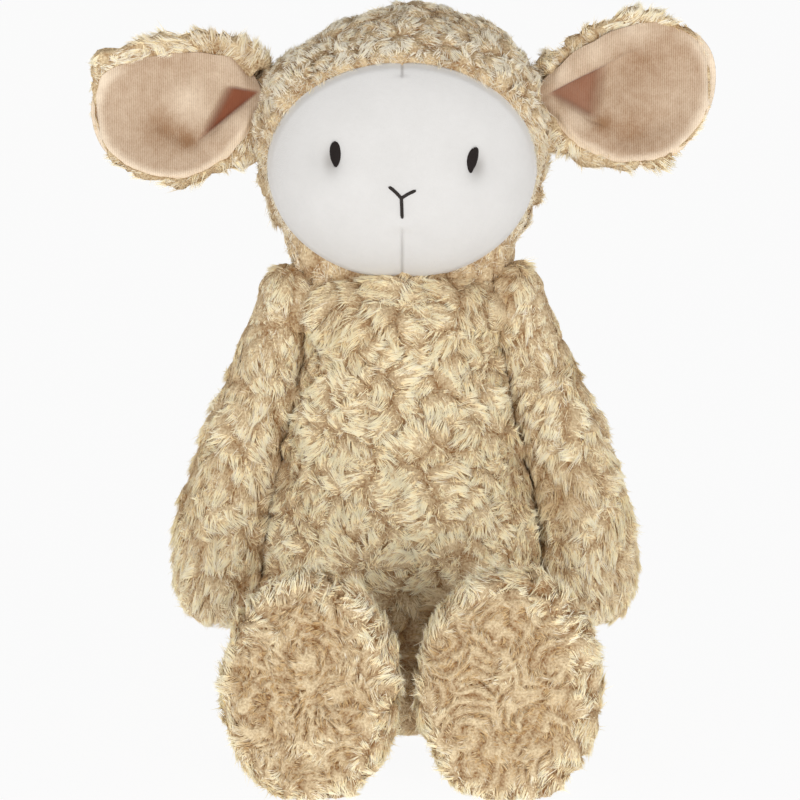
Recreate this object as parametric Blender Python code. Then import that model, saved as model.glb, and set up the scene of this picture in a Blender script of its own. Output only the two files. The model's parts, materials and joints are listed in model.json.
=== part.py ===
"""A seated plush sheep: stuffed fur skins, a white face, wide lined ears and floppy limbs.

Metres, +Z up. The sheep faces -Y and its left side is at -X, as it is seen from in front.
The origin is the middle of the flat that the seat rests on.
Run with: blender --background --python part.py
"""

import math

import bmesh
import bpy
from mathutils import Matrix, Vector

# Fabric and clearances
SKIN_WALL = 0.0026          # plush backing with the dense foot of its pile
FACE_WALL = 0.0016          # short-napped knit of the face
PANEL_GAP = 0.0003          # between two panels that are sewn edge to edge
STUFFING_GAP = 0.0008       # between a skin and what fills it
JOINT_GAP = 0.0006          # between a limb's round root and the pocket that it turns in
OVERRUN = 0.02              # how far a cutter runs past what it cuts

# Body, from the seat to the dome that the head is sewn on
NECK_HEIGHT = 0.166         # centre of the dome, which the head nods about
NECK_RADIUS = 0.019
NECK_OPENING_RADIUS = 0.009
BODY_HALF_WIDTH = 0.055
BODY_HALF_DEPTH = 0.045
SEAT_FLAT_DEPTH = 0.0005    # how deep the resting forms are cut flat
FLOOR_REACH = 0.5           # of the block that cuts them flat

# Head
HEAD_HEIGHT = 0.232         # centre of the head above the seat
HEAD_HALF_HEIGHT = 0.055
HEAD_HALF_WIDTH = 0.055
HEAD_FRONT = 0.044
HEAD_BACK = 0.050
HEAD_ROUNDNESS = 2.2        # 2 would be an ellipsoid

# Face panel and its embroidery
FACE_HEIGHT = 0.2239        # centre of the face's oval
FACE_HALF_WIDTH = 0.0532
FACE_HALF_HEIGHT = 0.0432
EYE_SPREAD = 0.0262
EYE_HEIGHT = 0.2302
EYE_HALF_WIDTH = 0.0022
EYE_HALF_HEIGHT = 0.0046
EYE_THICKNESS = 0.0009
MOUTH_HEIGHT = 0.2155       # where the three strokes of the mouth meet
MOUTH_ARM_RUN = 0.0048
MOUTH_ARM_RISE = 0.0042
MOUTH_STEM = 0.0080
MOUTH_STROKE = 0.0012
MOUTH_THICKNESS = 0.0006

# Ears, from the pleated root to the tip
EAR_ROOT_SPREAD = 0.0515
EAR_ROOT_SETBACK = 0.002
EAR_ROOT_HEIGHT = 0.2515
EAR_ROOT_RADIUS = 0.0098    # of the pleated root, seen from in front
EAR_ROOT_THICKNESS = 0.0052 # of each half of the root, front and back
EAR_LENGTH = 0.070
EAR_HALF_WIDTH = 0.0270
EAR_BACK_THICKNESS = 0.0050
EAR_FRONT_THICKNESS = 0.0016
EAR_CUP = 0.0085            # how far the long edges stand forward of the middle
EAR_BORDER = 0.0030         # fur edge that shows round the lining
EAR_LINING_THICKNESS = 0.0014
EAR_LINING_GAP = 0.0010
LEFT_EAR_LIFT = math.radians(-7)
RIGHT_EAR_LIFT = math.radians(4)

# Arms, hanging from the shoulders
SHOULDER_SPREAD = 0.045
SHOULDER_HEIGHT = 0.172
SHOULDER_FORWARD = 0.002
SHOULDER_RADIUS = 0.0115
ARM_LENGTH = 0.131
ARM_HALF_WIDTH = 0.0168
LEFT_ARM_SPREAD = 0.0285
RIGHT_ARM_SPREAD = 0.0315

# Legs, lying forward from the hips, with the soles upright
HIP_SPREAD = 0.033
HIP_FORWARD = 0.047
HIP_HEIGHT = 0.023
HIP_RADIUS = 0.0215
LEG_LENGTH = 0.0795
FOOT_HALF_WIDTH = 0.030
FOOT_HALF_HEIGHT = 0.041
FOOT_RISE = FOOT_HALF_HEIGHT - HIP_HEIGHT - SEAT_FLAT_DEPTH
SOLE_THICKNESS = 0.0065     # how far the sewn sole wraps back from its front
LEFT_LEG_SPLAY = math.radians(1.6)
RIGHT_LEG_SPLAY = math.radians(3.8)

# Tail
TAIL_ROOT_HEIGHT = 0.044
TAIL_ROOT_RADIUS = 0.0065
TAIL_STANDOFF = 0.0012      # of the middle of its root from the body's back
TAIL_LENGTH = 0.030
TAIL_HALF_WIDTH = 0.0115
TAIL_HALF_DEPTH = 0.0095
TAIL_SLOPE = math.radians(28)

# Pouch of pellets that weights the seat
POUCH_HALF_WIDTH = 0.029
POUCH_HALF_DEPTH = 0.019
POUCH_HALF_HEIGHT = 0.013
POUCH_SETBACK = 0.008
POUCH_LIFT = 0.005          # over the seat's skin, which curves up under the pouch's edge
POUCH_ROUNDNESS = 3.0       # a flattish pillow
POUCH_WALL = 0.0008
POUCH_MOUTH_RADIUS = 0.005

# Stitching that closes the head on the body
NECK_THREAD_RADIUS = 0.0007
NECK_THREAD_ANGLE = math.radians(40)    # up the dome from its equator

# Openings of the limbs' skins towards the body
OPENING_SHARE = 0.55

# Facets
BODY_RINGS = 14             # one at each row of the body's shares and of its dome
BODY_SIDES = 24
HEAD_RINGS = 16
LIMB_RINGS = 12
LIMB_SIDES = 20
ARM_SIDES = 16
EAR_RINGS = 15
EAR_SIDES = 16
LINING_RINGS = 9
LINING_SIDES = 12
SMALL_RINGS = 8
SMALL_SIDES = 12
THREAD_SIDES = 6
THREAD_STEPS = 24
CUTTER_RINGS = 12
CUTTER_SIDES = 24
OVAL_SIDES = 40

FUR = (0.585, 0.445, 0.270)
FACE_WHITE = (0.780, 0.760, 0.745)
LINING = (0.560, 0.370, 0.245)
THREAD_DARK = (0.018, 0.012, 0.010)
THREAD_GREY = (0.035, 0.028, 0.022)
THREAD_FUR = (0.450, 0.330, 0.200)
STUFFING = (0.800, 0.800, 0.780)
POUCH_CLOTH = (0.650, 0.640, 0.600)
PELLETS = (0.700, 0.700, 0.680)


def clear_scene():
    for thing in list(bpy.data.objects):
        bpy.data.objects.remove(thing, do_unlink=True)


def material(name, colour, roughness):
    made = bpy.data.materials.new(name)
    made.use_nodes = True
    shader = made.node_tree.nodes["Principled BSDF"]
    shader.inputs["Base Color"].default_value = (*colour, 1.0)
    shader.inputs["Roughness"].default_value = roughness
    shader.inputs["Metallic"].default_value = 0.0
    return made


def smooth_row(rows, share):
    """The row of numbers at a share of the way through rows, on a Catmull-Rom curve."""
    last = len(rows) - 1
    at = min(max(share, 0.0), 1.0) * last
    first = min(int(at), last - 1)
    t = at - first
    before = rows[max(first - 1, 0)]
    start = rows[first]
    end = rows[first + 1]
    after = rows[min(first + 2, last)]
    mixed = []
    for a, b, c, d in zip(before, start, end, after):
        bend = 2.0 * a - 5.0 * b + 4.0 * c - d
        twist = 3.0 * b - a - 3.0 * c + d
        mixed.append(0.5 * (2.0 * b + (c - a) * t + bend * t * t + twist * t * t * t))
    return mixed


def stuffed_mesh(name, place, rings, sides):
    """A sphere's mesh with each vertex put at place(share along, cosine, sine round the form)."""
    shape = bmesh.new()
    bmesh.ops.create_uvsphere(shape, u_segments=sides, v_segments=rings, radius=1.0)
    for vertex in shape.verts:
        along = math.acos(max(-1.0, min(1.0, -vertex.co.z))) / math.pi
        turn = math.atan2(vertex.co.y, vertex.co.x)
        vertex.co = place(along, math.cos(turn), math.sin(turn))
    if shape.calc_volume(signed=True) < 0.0:
        bmesh.ops.reverse_faces(shape, faces=shape.faces)
    mesh = bpy.data.meshes.new(name)
    shape.to_mesh(mesh)
    shape.free()
    mesh.shade_smooth()
    return mesh


def node(name, mesh, finish=None, origin=(0.0, 0.0, 0.0), turn=(0.0, 0.0, 0.0)):
    made = bpy.data.objects.new(name, mesh)
    bpy.context.scene.collection.objects.link(made)
    made.location = origin
    made.rotation_euler = turn
    if finish is not None:
        mesh.materials.append(finish)
    return made


def guide(name, mesh, origin=(0.0, 0.0, 0.0), turn=(0.0, 0.0, 0.0)):
    """An object that only cuts others."""
    made = node(name, mesh, None, origin, turn)
    made.hide_render = True
    made.display_type = "WIRE"
    return made


def grow(made, distance):
    """Move the surface out along its normals, or in where the distance is negative."""
    push = made.modifiers.new("grow", "DISPLACE")
    push.direction = "NORMAL"
    push.mid_level = 0.0
    push.strength = distance


def hollow(made, wall):
    shell = made.modifiers.new("wall", "SOLIDIFY")
    shell.thickness = wall
    shell.offset = -1.0


def cut(made, cutter, operation="DIFFERENCE"):
    knife = made.modifiers.new(f"{operation} {cutter.name}", "BOOLEAN")
    knife.operation = operation
    knife.solver = "EXACT"
    knife.object = cutter


def ball_cutter(name, centre, radius):
    shape = bmesh.new()
    bmesh.ops.create_uvsphere(shape, u_segments=CUTTER_SIDES, v_segments=CUTTER_RINGS, radius=radius)
    mesh = bpy.data.meshes.new(name)
    shape.to_mesh(mesh)
    shape.free()
    return guide(name, mesh, centre)


def prism_cutter(name, outline, start, end, origin=(0.0, 0.0, 0.0), turn=(0.0, 0.0, 0.0)):
    """The (x, z) outline extruded along Y from start to end, then turned and placed."""
    shape = bmesh.new()
    rim = [shape.verts.new((x, start, z)) for x, z in outline]
    face = shape.faces.new(rim)
    grown = bmesh.ops.extrude_face_region(shape, geom=[face])
    moved = [item for item in grown["geom"] if isinstance(item, bmesh.types.BMVert)]
    bmesh.ops.translate(shape, verts=moved, vec=(0.0, end - start, 0.0))
    bmesh.ops.recalc_face_normals(shape, faces=shape.faces)
    mesh = bpy.data.meshes.new(name)
    shape.to_mesh(mesh)
    shape.free()
    return guide(name, mesh, origin, turn)


def box_cutter(name, low, high, origin=(0.0, 0.0, 0.0), turn=(0.0, 0.0, 0.0)):
    shape = bmesh.new()
    bmesh.ops.create_cube(shape, size=1.0)
    size = Vector(high) - Vector(low)
    middle = (Vector(high) + Vector(low)) / 2.0
    bmesh.ops.transform(shape, matrix=Matrix.LocRotScale(middle, None, size), verts=shape.verts)
    mesh = bpy.data.meshes.new(name)
    shape.to_mesh(mesh)
    shape.free()
    return guide(name, mesh, origin, turn)


def oval(half_width, half_height, middle_x, middle_z):
    turns = [2.0 * math.pi * step / OVAL_SIDES for step in range(OVAL_SIDES)]
    return [(middle_x + half_width * math.cos(a), middle_z + half_height * math.sin(a)) for a in turns]


def dome_rows(centre, radius, angles, along_sign):
    """Rows (along, shift, half-width, half-depth) of a round end, at angles from its equator."""
    rows = []
    for angle in angles:
        rise = along_sign * radius * math.sin(angle)
        rows.append((centre + rise, 0.0, radius * math.cos(angle), radius * math.cos(angle)))
    return rows


DOME_ANGLES = [math.radians(90), math.radians(60), math.radians(30)]

# Shares of the neck's height, of nothing, of the half-width and of the half-depth
BODY_SHARES = [
    (0.012, 0.0, 0.62, 0.62),
    (0.055, 0.0, 0.79, 0.79),
    (0.150, 0.0, 0.95, 0.95),
    (0.280, 0.0, 1.00, 1.00),
    (0.430, 0.0, 0.965, 0.97),
    (0.575, 0.0, 0.895, 0.88),
    (0.720, 0.0, 0.805, 0.78),
    (0.860, 0.0, 0.710, 0.70),
    (0.955, 0.0, 0.615, 0.63),
    (1.015, 0.0, 0.665, 0.50),
]


# Of the body's half-width and half-depth, where its underside starts to round up
SEAT_RIM_SHARE = 0.46


def body_rows():
    rim = (SEAT_RIM_SHARE * BODY_HALF_WIDTH, SEAT_RIM_SHARE * BODY_HALF_DEPTH)
    rows = [(-SEAT_FLAT_DEPTH, 0.0, 0.0, 0.0), (-SEAT_FLAT_DEPTH / 2.0, 0.0, *rim)]
    for along, shift, wide, deep in BODY_SHARES:
        rows.append((along * NECK_HEIGHT, shift, wide * BODY_HALF_WIDTH, deep * BODY_HALF_DEPTH))
    rows += dome_rows(NECK_HEIGHT, NECK_RADIUS, reversed(DOME_ANGLES), 1)
    return rows


def body_place(share, across, forward):
    height, shift, wide, deep = smooth_row(body_rows(), share)
    return Vector((across * wide, shift + forward * deep, height))


def head_place(share, across, forward):
    """A rounded ball, deeper at the back than at the face."""
    level = -math.cos(math.pi * share)
    height = math.copysign(abs(level) ** (2.0 / HEAD_ROUNDNESS), level)
    reach = math.sin(math.pi * share) ** (2.0 / HEAD_ROUNDNESS)
    x = math.copysign(abs(across) ** (2.0 / HEAD_ROUNDNESS), across)
    y = math.copysign(abs(forward) ** (2.0 / HEAD_ROUNDNESS), forward)
    depth = HEAD_BACK if forward > 0.0 else HEAD_FRONT
    return Vector((
        x * reach * HEAD_HALF_WIDTH,
        y * reach * depth,
        HEAD_HEIGHT + height * HEAD_HALF_HEIGHT,
    ))


# Shares of the arm's length, of its outward spread, and of its half-width twice
ARM_SHARES = [
    (0.000, 0.00, 0.690, 0.690),
    (0.100, 0.15, 0.700, 0.700),
    (0.232, 0.31, 0.750, 0.740),
    (0.426, 0.57, 0.845, 0.830),
    (0.643, 0.82, 0.940, 0.920),
    (0.829, 0.97, 1.000, 1.000),
    (0.945, 1.00, 0.800, 0.830),
    (0.986, 1.00, 0.430, 0.460),
    (1.000, 1.00, 0.000, 0.000),
]


def arm_rows():
    rows = dome_rows(0.0, SHOULDER_RADIUS, DOME_ANGLES, -1)
    rows.append((0.0, 0.0, SHOULDER_RADIUS, SHOULDER_RADIUS))
    for along, shift, wide, deep in ARM_SHARES[1:]:
        rows.append((along * ARM_LENGTH, shift, wide * ARM_HALF_WIDTH, deep * ARM_HALF_WIDTH))
    return rows


def arm_place(side, spread):
    """Down from the shoulder and outward; side is -1 for the left arm and 1 for the right."""
    rows = arm_rows()

    def place(share, across, forward):
        drop, shift, wide, deep = smooth_row(rows, share)
        return Vector((side * shift * spread + across * wide, forward * deep, -drop))

    return place


# Shares of the leg's length, of the foot's rise, of its half-width and of its half-height
LEG_SHARES = [
    (0.180, 0.00, 0.722, 0.541),
    (0.360, 0.05, 0.735, 0.555),
    (0.530, 0.24, 0.775, 0.640),
    (0.680, 0.62, 0.875, 0.815),
    (0.800, 0.93, 0.965, 0.960),
    (0.885, 1.00, 1.000, 1.000),
    (0.955, 1.00, 0.900, 0.920),
    (0.990, 1.00, 0.550, 0.580),
    (1.000, 1.00, 0.000, 0.000),
]


def leg_rows():
    rows = dome_rows(0.0, HIP_RADIUS, DOME_ANGLES, -1)
    rows.append((0.0, 0.0, HIP_RADIUS, HIP_RADIUS))
    for along, shift, wide, deep in LEG_SHARES:
        rows.append((along * LEG_LENGTH, shift * FOOT_RISE, wide * FOOT_HALF_WIDTH, deep * FOOT_HALF_HEIGHT))
    return rows


def leg_place(share, across, up):
    reach, rise, wide, high = smooth_row(leg_rows(), share)
    return Vector((across * wide, -reach, rise + up * high))


# Shares of the ear's length, of its cup, of its half-width and of its thickness
EAR_SHARES = [
    (0.060, 0.02, 0.315, 1.00),
    (0.105, 0.06, 0.262, 0.98),
    (0.135, 0.12, 0.370, 0.96),
    (0.180, 0.22, 0.560, 0.94),
    (0.243, 0.38, 0.735, 0.90),
    (0.343, 0.55, 0.865, 0.88),
    (0.470, 0.66, 0.955, 0.86),
    (0.600, 0.70, 1.000, 0.84),
    (0.757, 0.62, 0.940, 0.82),
    (0.886, 0.48, 0.730, 0.78),
    (0.964, 0.35, 0.445, 0.66),
    (1.000, 0.20, 0.000, 0.00),
]


def ear_rows():
    """Rows (along, cup, half-width, back thickness) from inside the head to the tip."""
    flatness = EAR_ROOT_THICKNESS / EAR_ROOT_RADIUS
    root = dome_rows(0.0, EAR_ROOT_RADIUS, DOME_ANGLES, -1)
    rows = [(along, cup, wide, flatness * deep) for along, cup, wide, deep in root]
    rows.append((0.0, 0.0, EAR_ROOT_RADIUS, EAR_ROOT_THICKNESS))
    for along, cup, wide, thick in EAR_SHARES:
        rows.append((along * EAR_LENGTH, cup * EAR_CUP, wide * EAR_HALF_WIDTH, thick * EAR_BACK_THICKNESS))
    return rows


def ear_front(cup, wide, thick, reach):
    """How far forward the ear's front lies at a reach from its middle line."""
    if wide <= 0.0:
        return 0.0
    out = min(abs(reach) / wide, 1.0)
    # The root is as thick in front as behind, and the blade is thin in front.
    blade = min(max((wide - EAR_ROOT_RADIUS) / EAR_ROOT_RADIUS, 0.0), 1.0)
    front = thick + blade * (EAR_FRONT_THICKNESS - thick)
    return cup * out * out + front * math.sqrt(1.0 - out * out)


def ear_place(side):
    rows = ear_rows()

    def place(share, up, forward):
        along, cup, wide, thick = smooth_row(rows, share)
        reach = up * wide
        if forward > 0.0:
            depth = forward * thick - cup * up * up
        else:
            depth = -ear_front(cup, wide, thick, reach)
        return Vector((side * along, depth, reach))

    return place


# Where the lining starts and ends, as shares of the ear's rows
LINING_START_SHARE = 0.44
LINING_END_SHARE = 0.965


def lining_place(side):
    rows = ear_rows()

    def place(share, up, forward):
        row_share = LINING_START_SHARE + share * (LINING_END_SHARE - LINING_START_SHARE)
        along, cup, wide, thick = smooth_row(rows, row_share)
        # Its own outline is rounded at both ends.
        rounding = math.sqrt(math.sin(math.pi * share)) if 0.0 < share < 1.0 else 0.0
        reach = up * rounding * max(wide - EAR_BORDER, EAR_BORDER)
        seat = ear_front(cup, wide, thick, reach) + EAR_LINING_GAP
        crown = EAR_LINING_THICKNESS * rounding * math.sqrt(abs(forward)) if forward < 0.0 else 0.0
        return Vector((side * along, -seat - crown, reach))

    return place


# Shares of the tail's length, of nothing, of its half-width and of its half-depth
TAIL_SHARES = [
    (0.30, 0.0, 0.82, 0.82),
    (0.58, 0.0, 1.00, 1.00),
    (0.84, 0.0, 0.80, 0.80),
    (0.96, 0.0, 0.45, 0.45),
    (1.00, 0.0, 0.00, 0.00),
]


def tail_place(share, across, up):
    rows = dome_rows(0.0, TAIL_ROOT_RADIUS, DOME_ANGLES, -1)
    rows.append((0.0, 0.0, TAIL_ROOT_RADIUS, TAIL_ROOT_RADIUS))
    for along, shift, wide, deep in TAIL_SHARES:
        rows.append((along * TAIL_LENGTH, shift, wide * TAIL_HALF_WIDTH, deep * TAIL_HALF_DEPTH))
    reach, shift, wide, deep = smooth_row(rows, share)
    return Vector((across * wide, reach, shift + up * deep))


def pouch_place(share, across, forward, reach_down=POUCH_HALF_HEIGHT):
    level = -math.cos(math.pi * share)
    height = math.copysign(abs(level) ** (2.0 / POUCH_ROUNDNESS), level)
    reach = math.sin(math.pi * share) ** (2.0 / POUCH_ROUNDNESS)
    return Vector((
        across * reach * POUCH_HALF_WIDTH,
        forward * reach * POUCH_HALF_DEPTH,
        height * (POUCH_HALF_HEIGHT if height > 0.0 else reach_down),
    ))


def pouch_well(share, across, forward):
    """The pouch's form run on downward, so that the stuffing round it is open below."""
    return pouch_place(share, across, forward, POUCH_HALF_HEIGHT + OVERRUN)


def body_depth_at(height):
    """Half-depth of the body at a height, found on its own curve."""
    steps = BODY_RINGS * BODY_SIDES
    rows = body_rows()
    near = min((smooth_row(rows, step / steps) for step in range(steps)), key=lambda r: abs(r[0] - height))
    return near[3]


def build_limb(name, mesh_of, origin, turn, finishes, mouth):
    """A skin that is open at its root and filled with stuffing; mesh_of(name, coarseness) makes its form."""
    skin = node(f"{name}_skin", mesh_of(f"{name}_skin", 1), finishes["fur"], origin, turn)
    hollow(skin, SKIN_WALL)
    cut(skin, mouth)
    stuffing = node(f"{name}_stuffing", mesh_of(f"{name}_stuffing", 2), finishes["stuffing"], origin, turn)
    grow(stuffing, -(SKIN_WALL + STUFFING_GAP))
    return skin


def build_arm(name, side, spread, origin, finishes):
    place = arm_place(side, spread)

    def mesh_of(label, coarseness):
        return stuffed_mesh(label, place, LIMB_RINGS, ARM_SIDES // coarseness)

    opening_radius = OPENING_SHARE * SHOULDER_RADIUS
    opening = oval(opening_radius, opening_radius, 0.0, 0.0)
    inward = (0.0, 0.0, side * math.radians(90))
    mouth = prism_cutter(f"{name}_opening_cutter", opening, 0.0, SHOULDER_RADIUS + OVERRUN, origin, inward)
    build_limb(name, mesh_of, origin, (0.0, 0.0, 0.0), finishes, mouth)


def build_leg(name, side, splay, origin, finishes, floor):
    turn = (0.0, 0.0, side * splay)

    def mesh_of(label, coarseness):
        return stuffed_mesh(label, leg_place, LIMB_RINGS, LIMB_SIDES // coarseness)

    opening_radius = OPENING_SHARE * HIP_RADIUS
    opening = oval(opening_radius, opening_radius, 0.0, 0.0)
    mouth = prism_cutter(f"{name}_opening_cutter", opening, 0.0, HIP_RADIUS + OVERRUN, origin, turn)
    skin = build_limb(name, mesh_of, origin, turn, finishes, mouth)

    # The sole is the front of the same shell, sewn on along an upright seam.
    seam = -(LEG_LENGTH - SOLE_THICKNESS)
    low = (-FOOT_HALF_WIDTH - OVERRUN, -LEG_LENGTH - OVERRUN, -HIP_HEIGHT - OVERRUN)
    high = (FOOT_HALF_WIDTH + OVERRUN, seam + PANEL_GAP / 2.0, 2.0 * FOOT_HALF_HEIGHT + OVERRUN)
    cut(skin, box_cutter(f"{name}_sole_opening_cutter", low, high, origin, turn))
    cut(skin, floor)
    sole = node(f"{name}_sole", mesh_of(f"{name}_sole", 1), finishes["fur"], origin, turn)
    hollow(sole, SKIN_WALL)
    high = (high[0], seam - PANEL_GAP / 2.0, high[2])
    cut(sole, box_cutter(f"{name}_sole_cutter", low, high, origin, turn), "INTERSECT")
    cut(sole, floor)


def build_body(finishes, pockets, floor):
    skin = node("body_skin", stuffed_mesh("body_skin", body_place, BODY_RINGS, BODY_SIDES), finishes["fur"])
    hollow(skin, SKIN_WALL)
    filling_mesh = stuffed_mesh("body_stuffing", body_place, BODY_RINGS, BODY_SIDES // 2)
    filling = node("body_stuffing", filling_mesh, finishes["stuffing"])
    grow(filling, -(SKIN_WALL + STUFFING_GAP))
    for pocket in pockets:
        cut(skin, pocket)
        cut(filling, pocket)
    cut(skin, floor)
    opening = oval(NECK_OPENING_RADIUS, NECK_OPENING_RADIUS, 0.0, 0.0)
    upward = (math.radians(90), 0.0, 0.0)
    top = (0.0, 0.0, NECK_HEIGHT)
    cut(skin, prism_cutter("neck_opening_cutter", opening, 0.0, NECK_RADIUS + OVERRUN, top, upward))

    pouch_height = SKIN_WALL + POUCH_LIFT + POUCH_HALF_HEIGHT
    pouch_centre = (0.0, POUCH_SETBACK, pouch_height)
    pouch_mesh = stuffed_mesh("pellet_pouch", pouch_place, SMALL_RINGS, SMALL_SIDES)
    pouch = node("pellet_pouch", pouch_mesh, finishes["pouch"], pouch_centre)
    hollow(pouch, POUCH_WALL)
    mouth = oval(POUCH_MOUTH_RADIUS, POUCH_MOUTH_RADIUS, 0.0, 0.0)
    reach = POUCH_HALF_HEIGHT + OVERRUN
    cut(pouch, prism_cutter("pouch_mouth_cutter", mouth, 0.0, reach, pouch_centre, upward))
    pellets = node("pellets", stuffed_mesh("pellets", pouch_place, SMALL_RINGS, SMALL_SIDES),
                   finishes["pellets"], pouch_centre)
    grow(pellets, -(POUCH_WALL + STUFFING_GAP))
    hole_mesh = stuffed_mesh("pouch_hole_cutter", pouch_well, SMALL_RINGS, SMALL_SIDES)
    hole = guide("pouch_hole_cutter", hole_mesh, pouch_centre)
    grow(hole, STUFFING_GAP)
    cut(filling, hole)

    # The thread lies sunk in the seam, flush with the dome.
    groove = guide("neck_groove_cutter", ring_mesh("neck_groove_cutter", NECK_THREAD_RADIUS + PANEL_GAP))
    cut(skin, groove)
    node("neck_stitching", ring_mesh("neck_stitching", NECK_THREAD_RADIUS), finishes["fur_thread"])


def ring_mesh(name, radius):
    """A round ring of thread in the seam of the neck."""
    distance = NECK_RADIUS - NECK_THREAD_RADIUS
    middle = (
        distance * math.cos(NECK_THREAD_ANGLE),
        0.0,
        NECK_HEIGHT + distance * math.sin(NECK_THREAD_ANGLE),
    )
    shape = bmesh.new()
    ring = bmesh.ops.create_circle(shape, segments=THREAD_SIDES, radius=radius)
    upright = Matrix.Rotation(math.radians(90), 3, "X")
    bmesh.ops.rotate(shape, verts=ring["verts"], cent=(0.0, 0.0, 0.0), matrix=upright)
    bmesh.ops.translate(shape, verts=ring["verts"], vec=middle)
    bmesh.ops.spin(shape, geom=shape.edges[:], cent=(0.0, 0.0, 0.0), axis=(0.0, 0.0, 1.0),
                   angle=2.0 * math.pi, steps=THREAD_STEPS, use_merge=True)
    bmesh.ops.recalc_face_normals(shape, faces=shape.faces)
    mesh = bpy.data.meshes.new(name)
    shape.to_mesh(mesh)
    shape.free()
    mesh.shade_smooth()
    return mesh


def head_form(name, distance):
    """The head's whole shape as a guide, grown by a distance."""
    shape = guide(name, stuffed_mesh(name, head_place, HEAD_RINGS, BODY_SIDES))
    grow(shape, distance)
    return shape


def raised_stitching(name, finish, outline, thickness):
    """Embroidery that lies on the face: the outline's prism between two grown heads."""
    pad = prism_cutter(name, outline, -(HEAD_FRONT + OVERRUN), 0.0)
    pad.hide_render = False
    pad.display_type = "TEXTURED"
    pad.data.materials.append(finish)
    cut(pad, head_form(f"{name}_top", PANEL_GAP + thickness), "INTERSECT")
    cut(pad, head_form(f"{name}_seat", PANEL_GAP))
    return pad


# Points of half an eye as shares of its half-width and half-height, from top to bottom
EYE_OUTLINE_SHARES = [(0.0, 1.0), (0.52, 0.72), (0.92, 0.25), (0.96, -0.22), (0.60, -0.72), (0.0, -1.0)]


def eye_outline(side):
    right = [(wide * EYE_HALF_WIDTH, high * EYE_HALF_HEIGHT) for wide, high in EYE_OUTLINE_SHARES]
    left = [(-x, z) for x, z in reversed(right[1:-1])]
    return [(side * EYE_SPREAD + x, EYE_HEIGHT + z) for x, z in right + left]


def mouth_outline():
    """A letter Y: two short arms that meet on a stem."""
    half = MOUTH_STROKE / 2.0
    middle = Vector((0.0, MOUTH_HEIGHT))
    right_tip = middle + Vector((MOUTH_ARM_RUN, MOUTH_ARM_RISE))
    run = (right_tip - middle).normalized()
    normal = Vector((-run.y, run.x)) * half
    crotch = middle + Vector((0.0, half / run.x))
    armpit = middle + Vector((half, (half * run.y - half) / run.x))
    foot = middle + Vector((half, -MOUTH_STEM))
    right = [crotch, right_tip + normal, right_tip - normal, armpit, foot]
    left = [Vector((-point.x, point.y)) for point in reversed(right[1:])]
    return [(point.x, point.y) for point in right + left]


def build_head(finishes, pockets):
    inside_face = PANEL_GAP / 2.0
    face_oval = oval(FACE_HALF_WIDTH - inside_face, FACE_HALF_HEIGHT - inside_face, 0.0, FACE_HEIGHT)
    skin_oval = oval(FACE_HALF_WIDTH + inside_face, FACE_HALF_HEIGHT + inside_face, 0.0, FACE_HEIGHT)
    front = -(HEAD_FRONT + OVERRUN)
    face_cutter = prism_cutter("face_cutter", face_oval, front, 0.0)
    opening_cutter = prism_cutter("face_opening_cutter", skin_oval, front, 0.0)

    skin = node("head_skin", stuffed_mesh("head_skin", head_place, HEAD_RINGS, BODY_SIDES), finishes["fur"])
    hollow(skin, SKIN_WALL)
    cut(skin, opening_cutter)

    face = node("face_panel", stuffed_mesh("face_panel", head_place, HEAD_RINGS, BODY_SIDES), finishes["face"])
    hollow(face, FACE_WALL)
    cut(face, face_cutter, "INTERSECT")

    filling_mesh = stuffed_mesh("head_stuffing", head_place, HEAD_RINGS, BODY_SIDES // 2)
    filling = node("head_stuffing", filling_mesh, finishes["stuffing"])
    grow(filling, -(SKIN_WALL + STUFFING_GAP))
    for pocket in pockets:
        cut(skin, pocket)
        cut(filling, pocket)
    cut(face, pockets[0])

    raised_stitching("left_eye", finishes["eye"], eye_outline(-1), EYE_THICKNESS)
    raised_stitching("right_eye", finishes["eye"], eye_outline(1), EYE_THICKNESS)
    raised_stitching("mouth_stitch", finishes["mouth"], mouth_outline(), MOUTH_THICKNESS)


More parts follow.
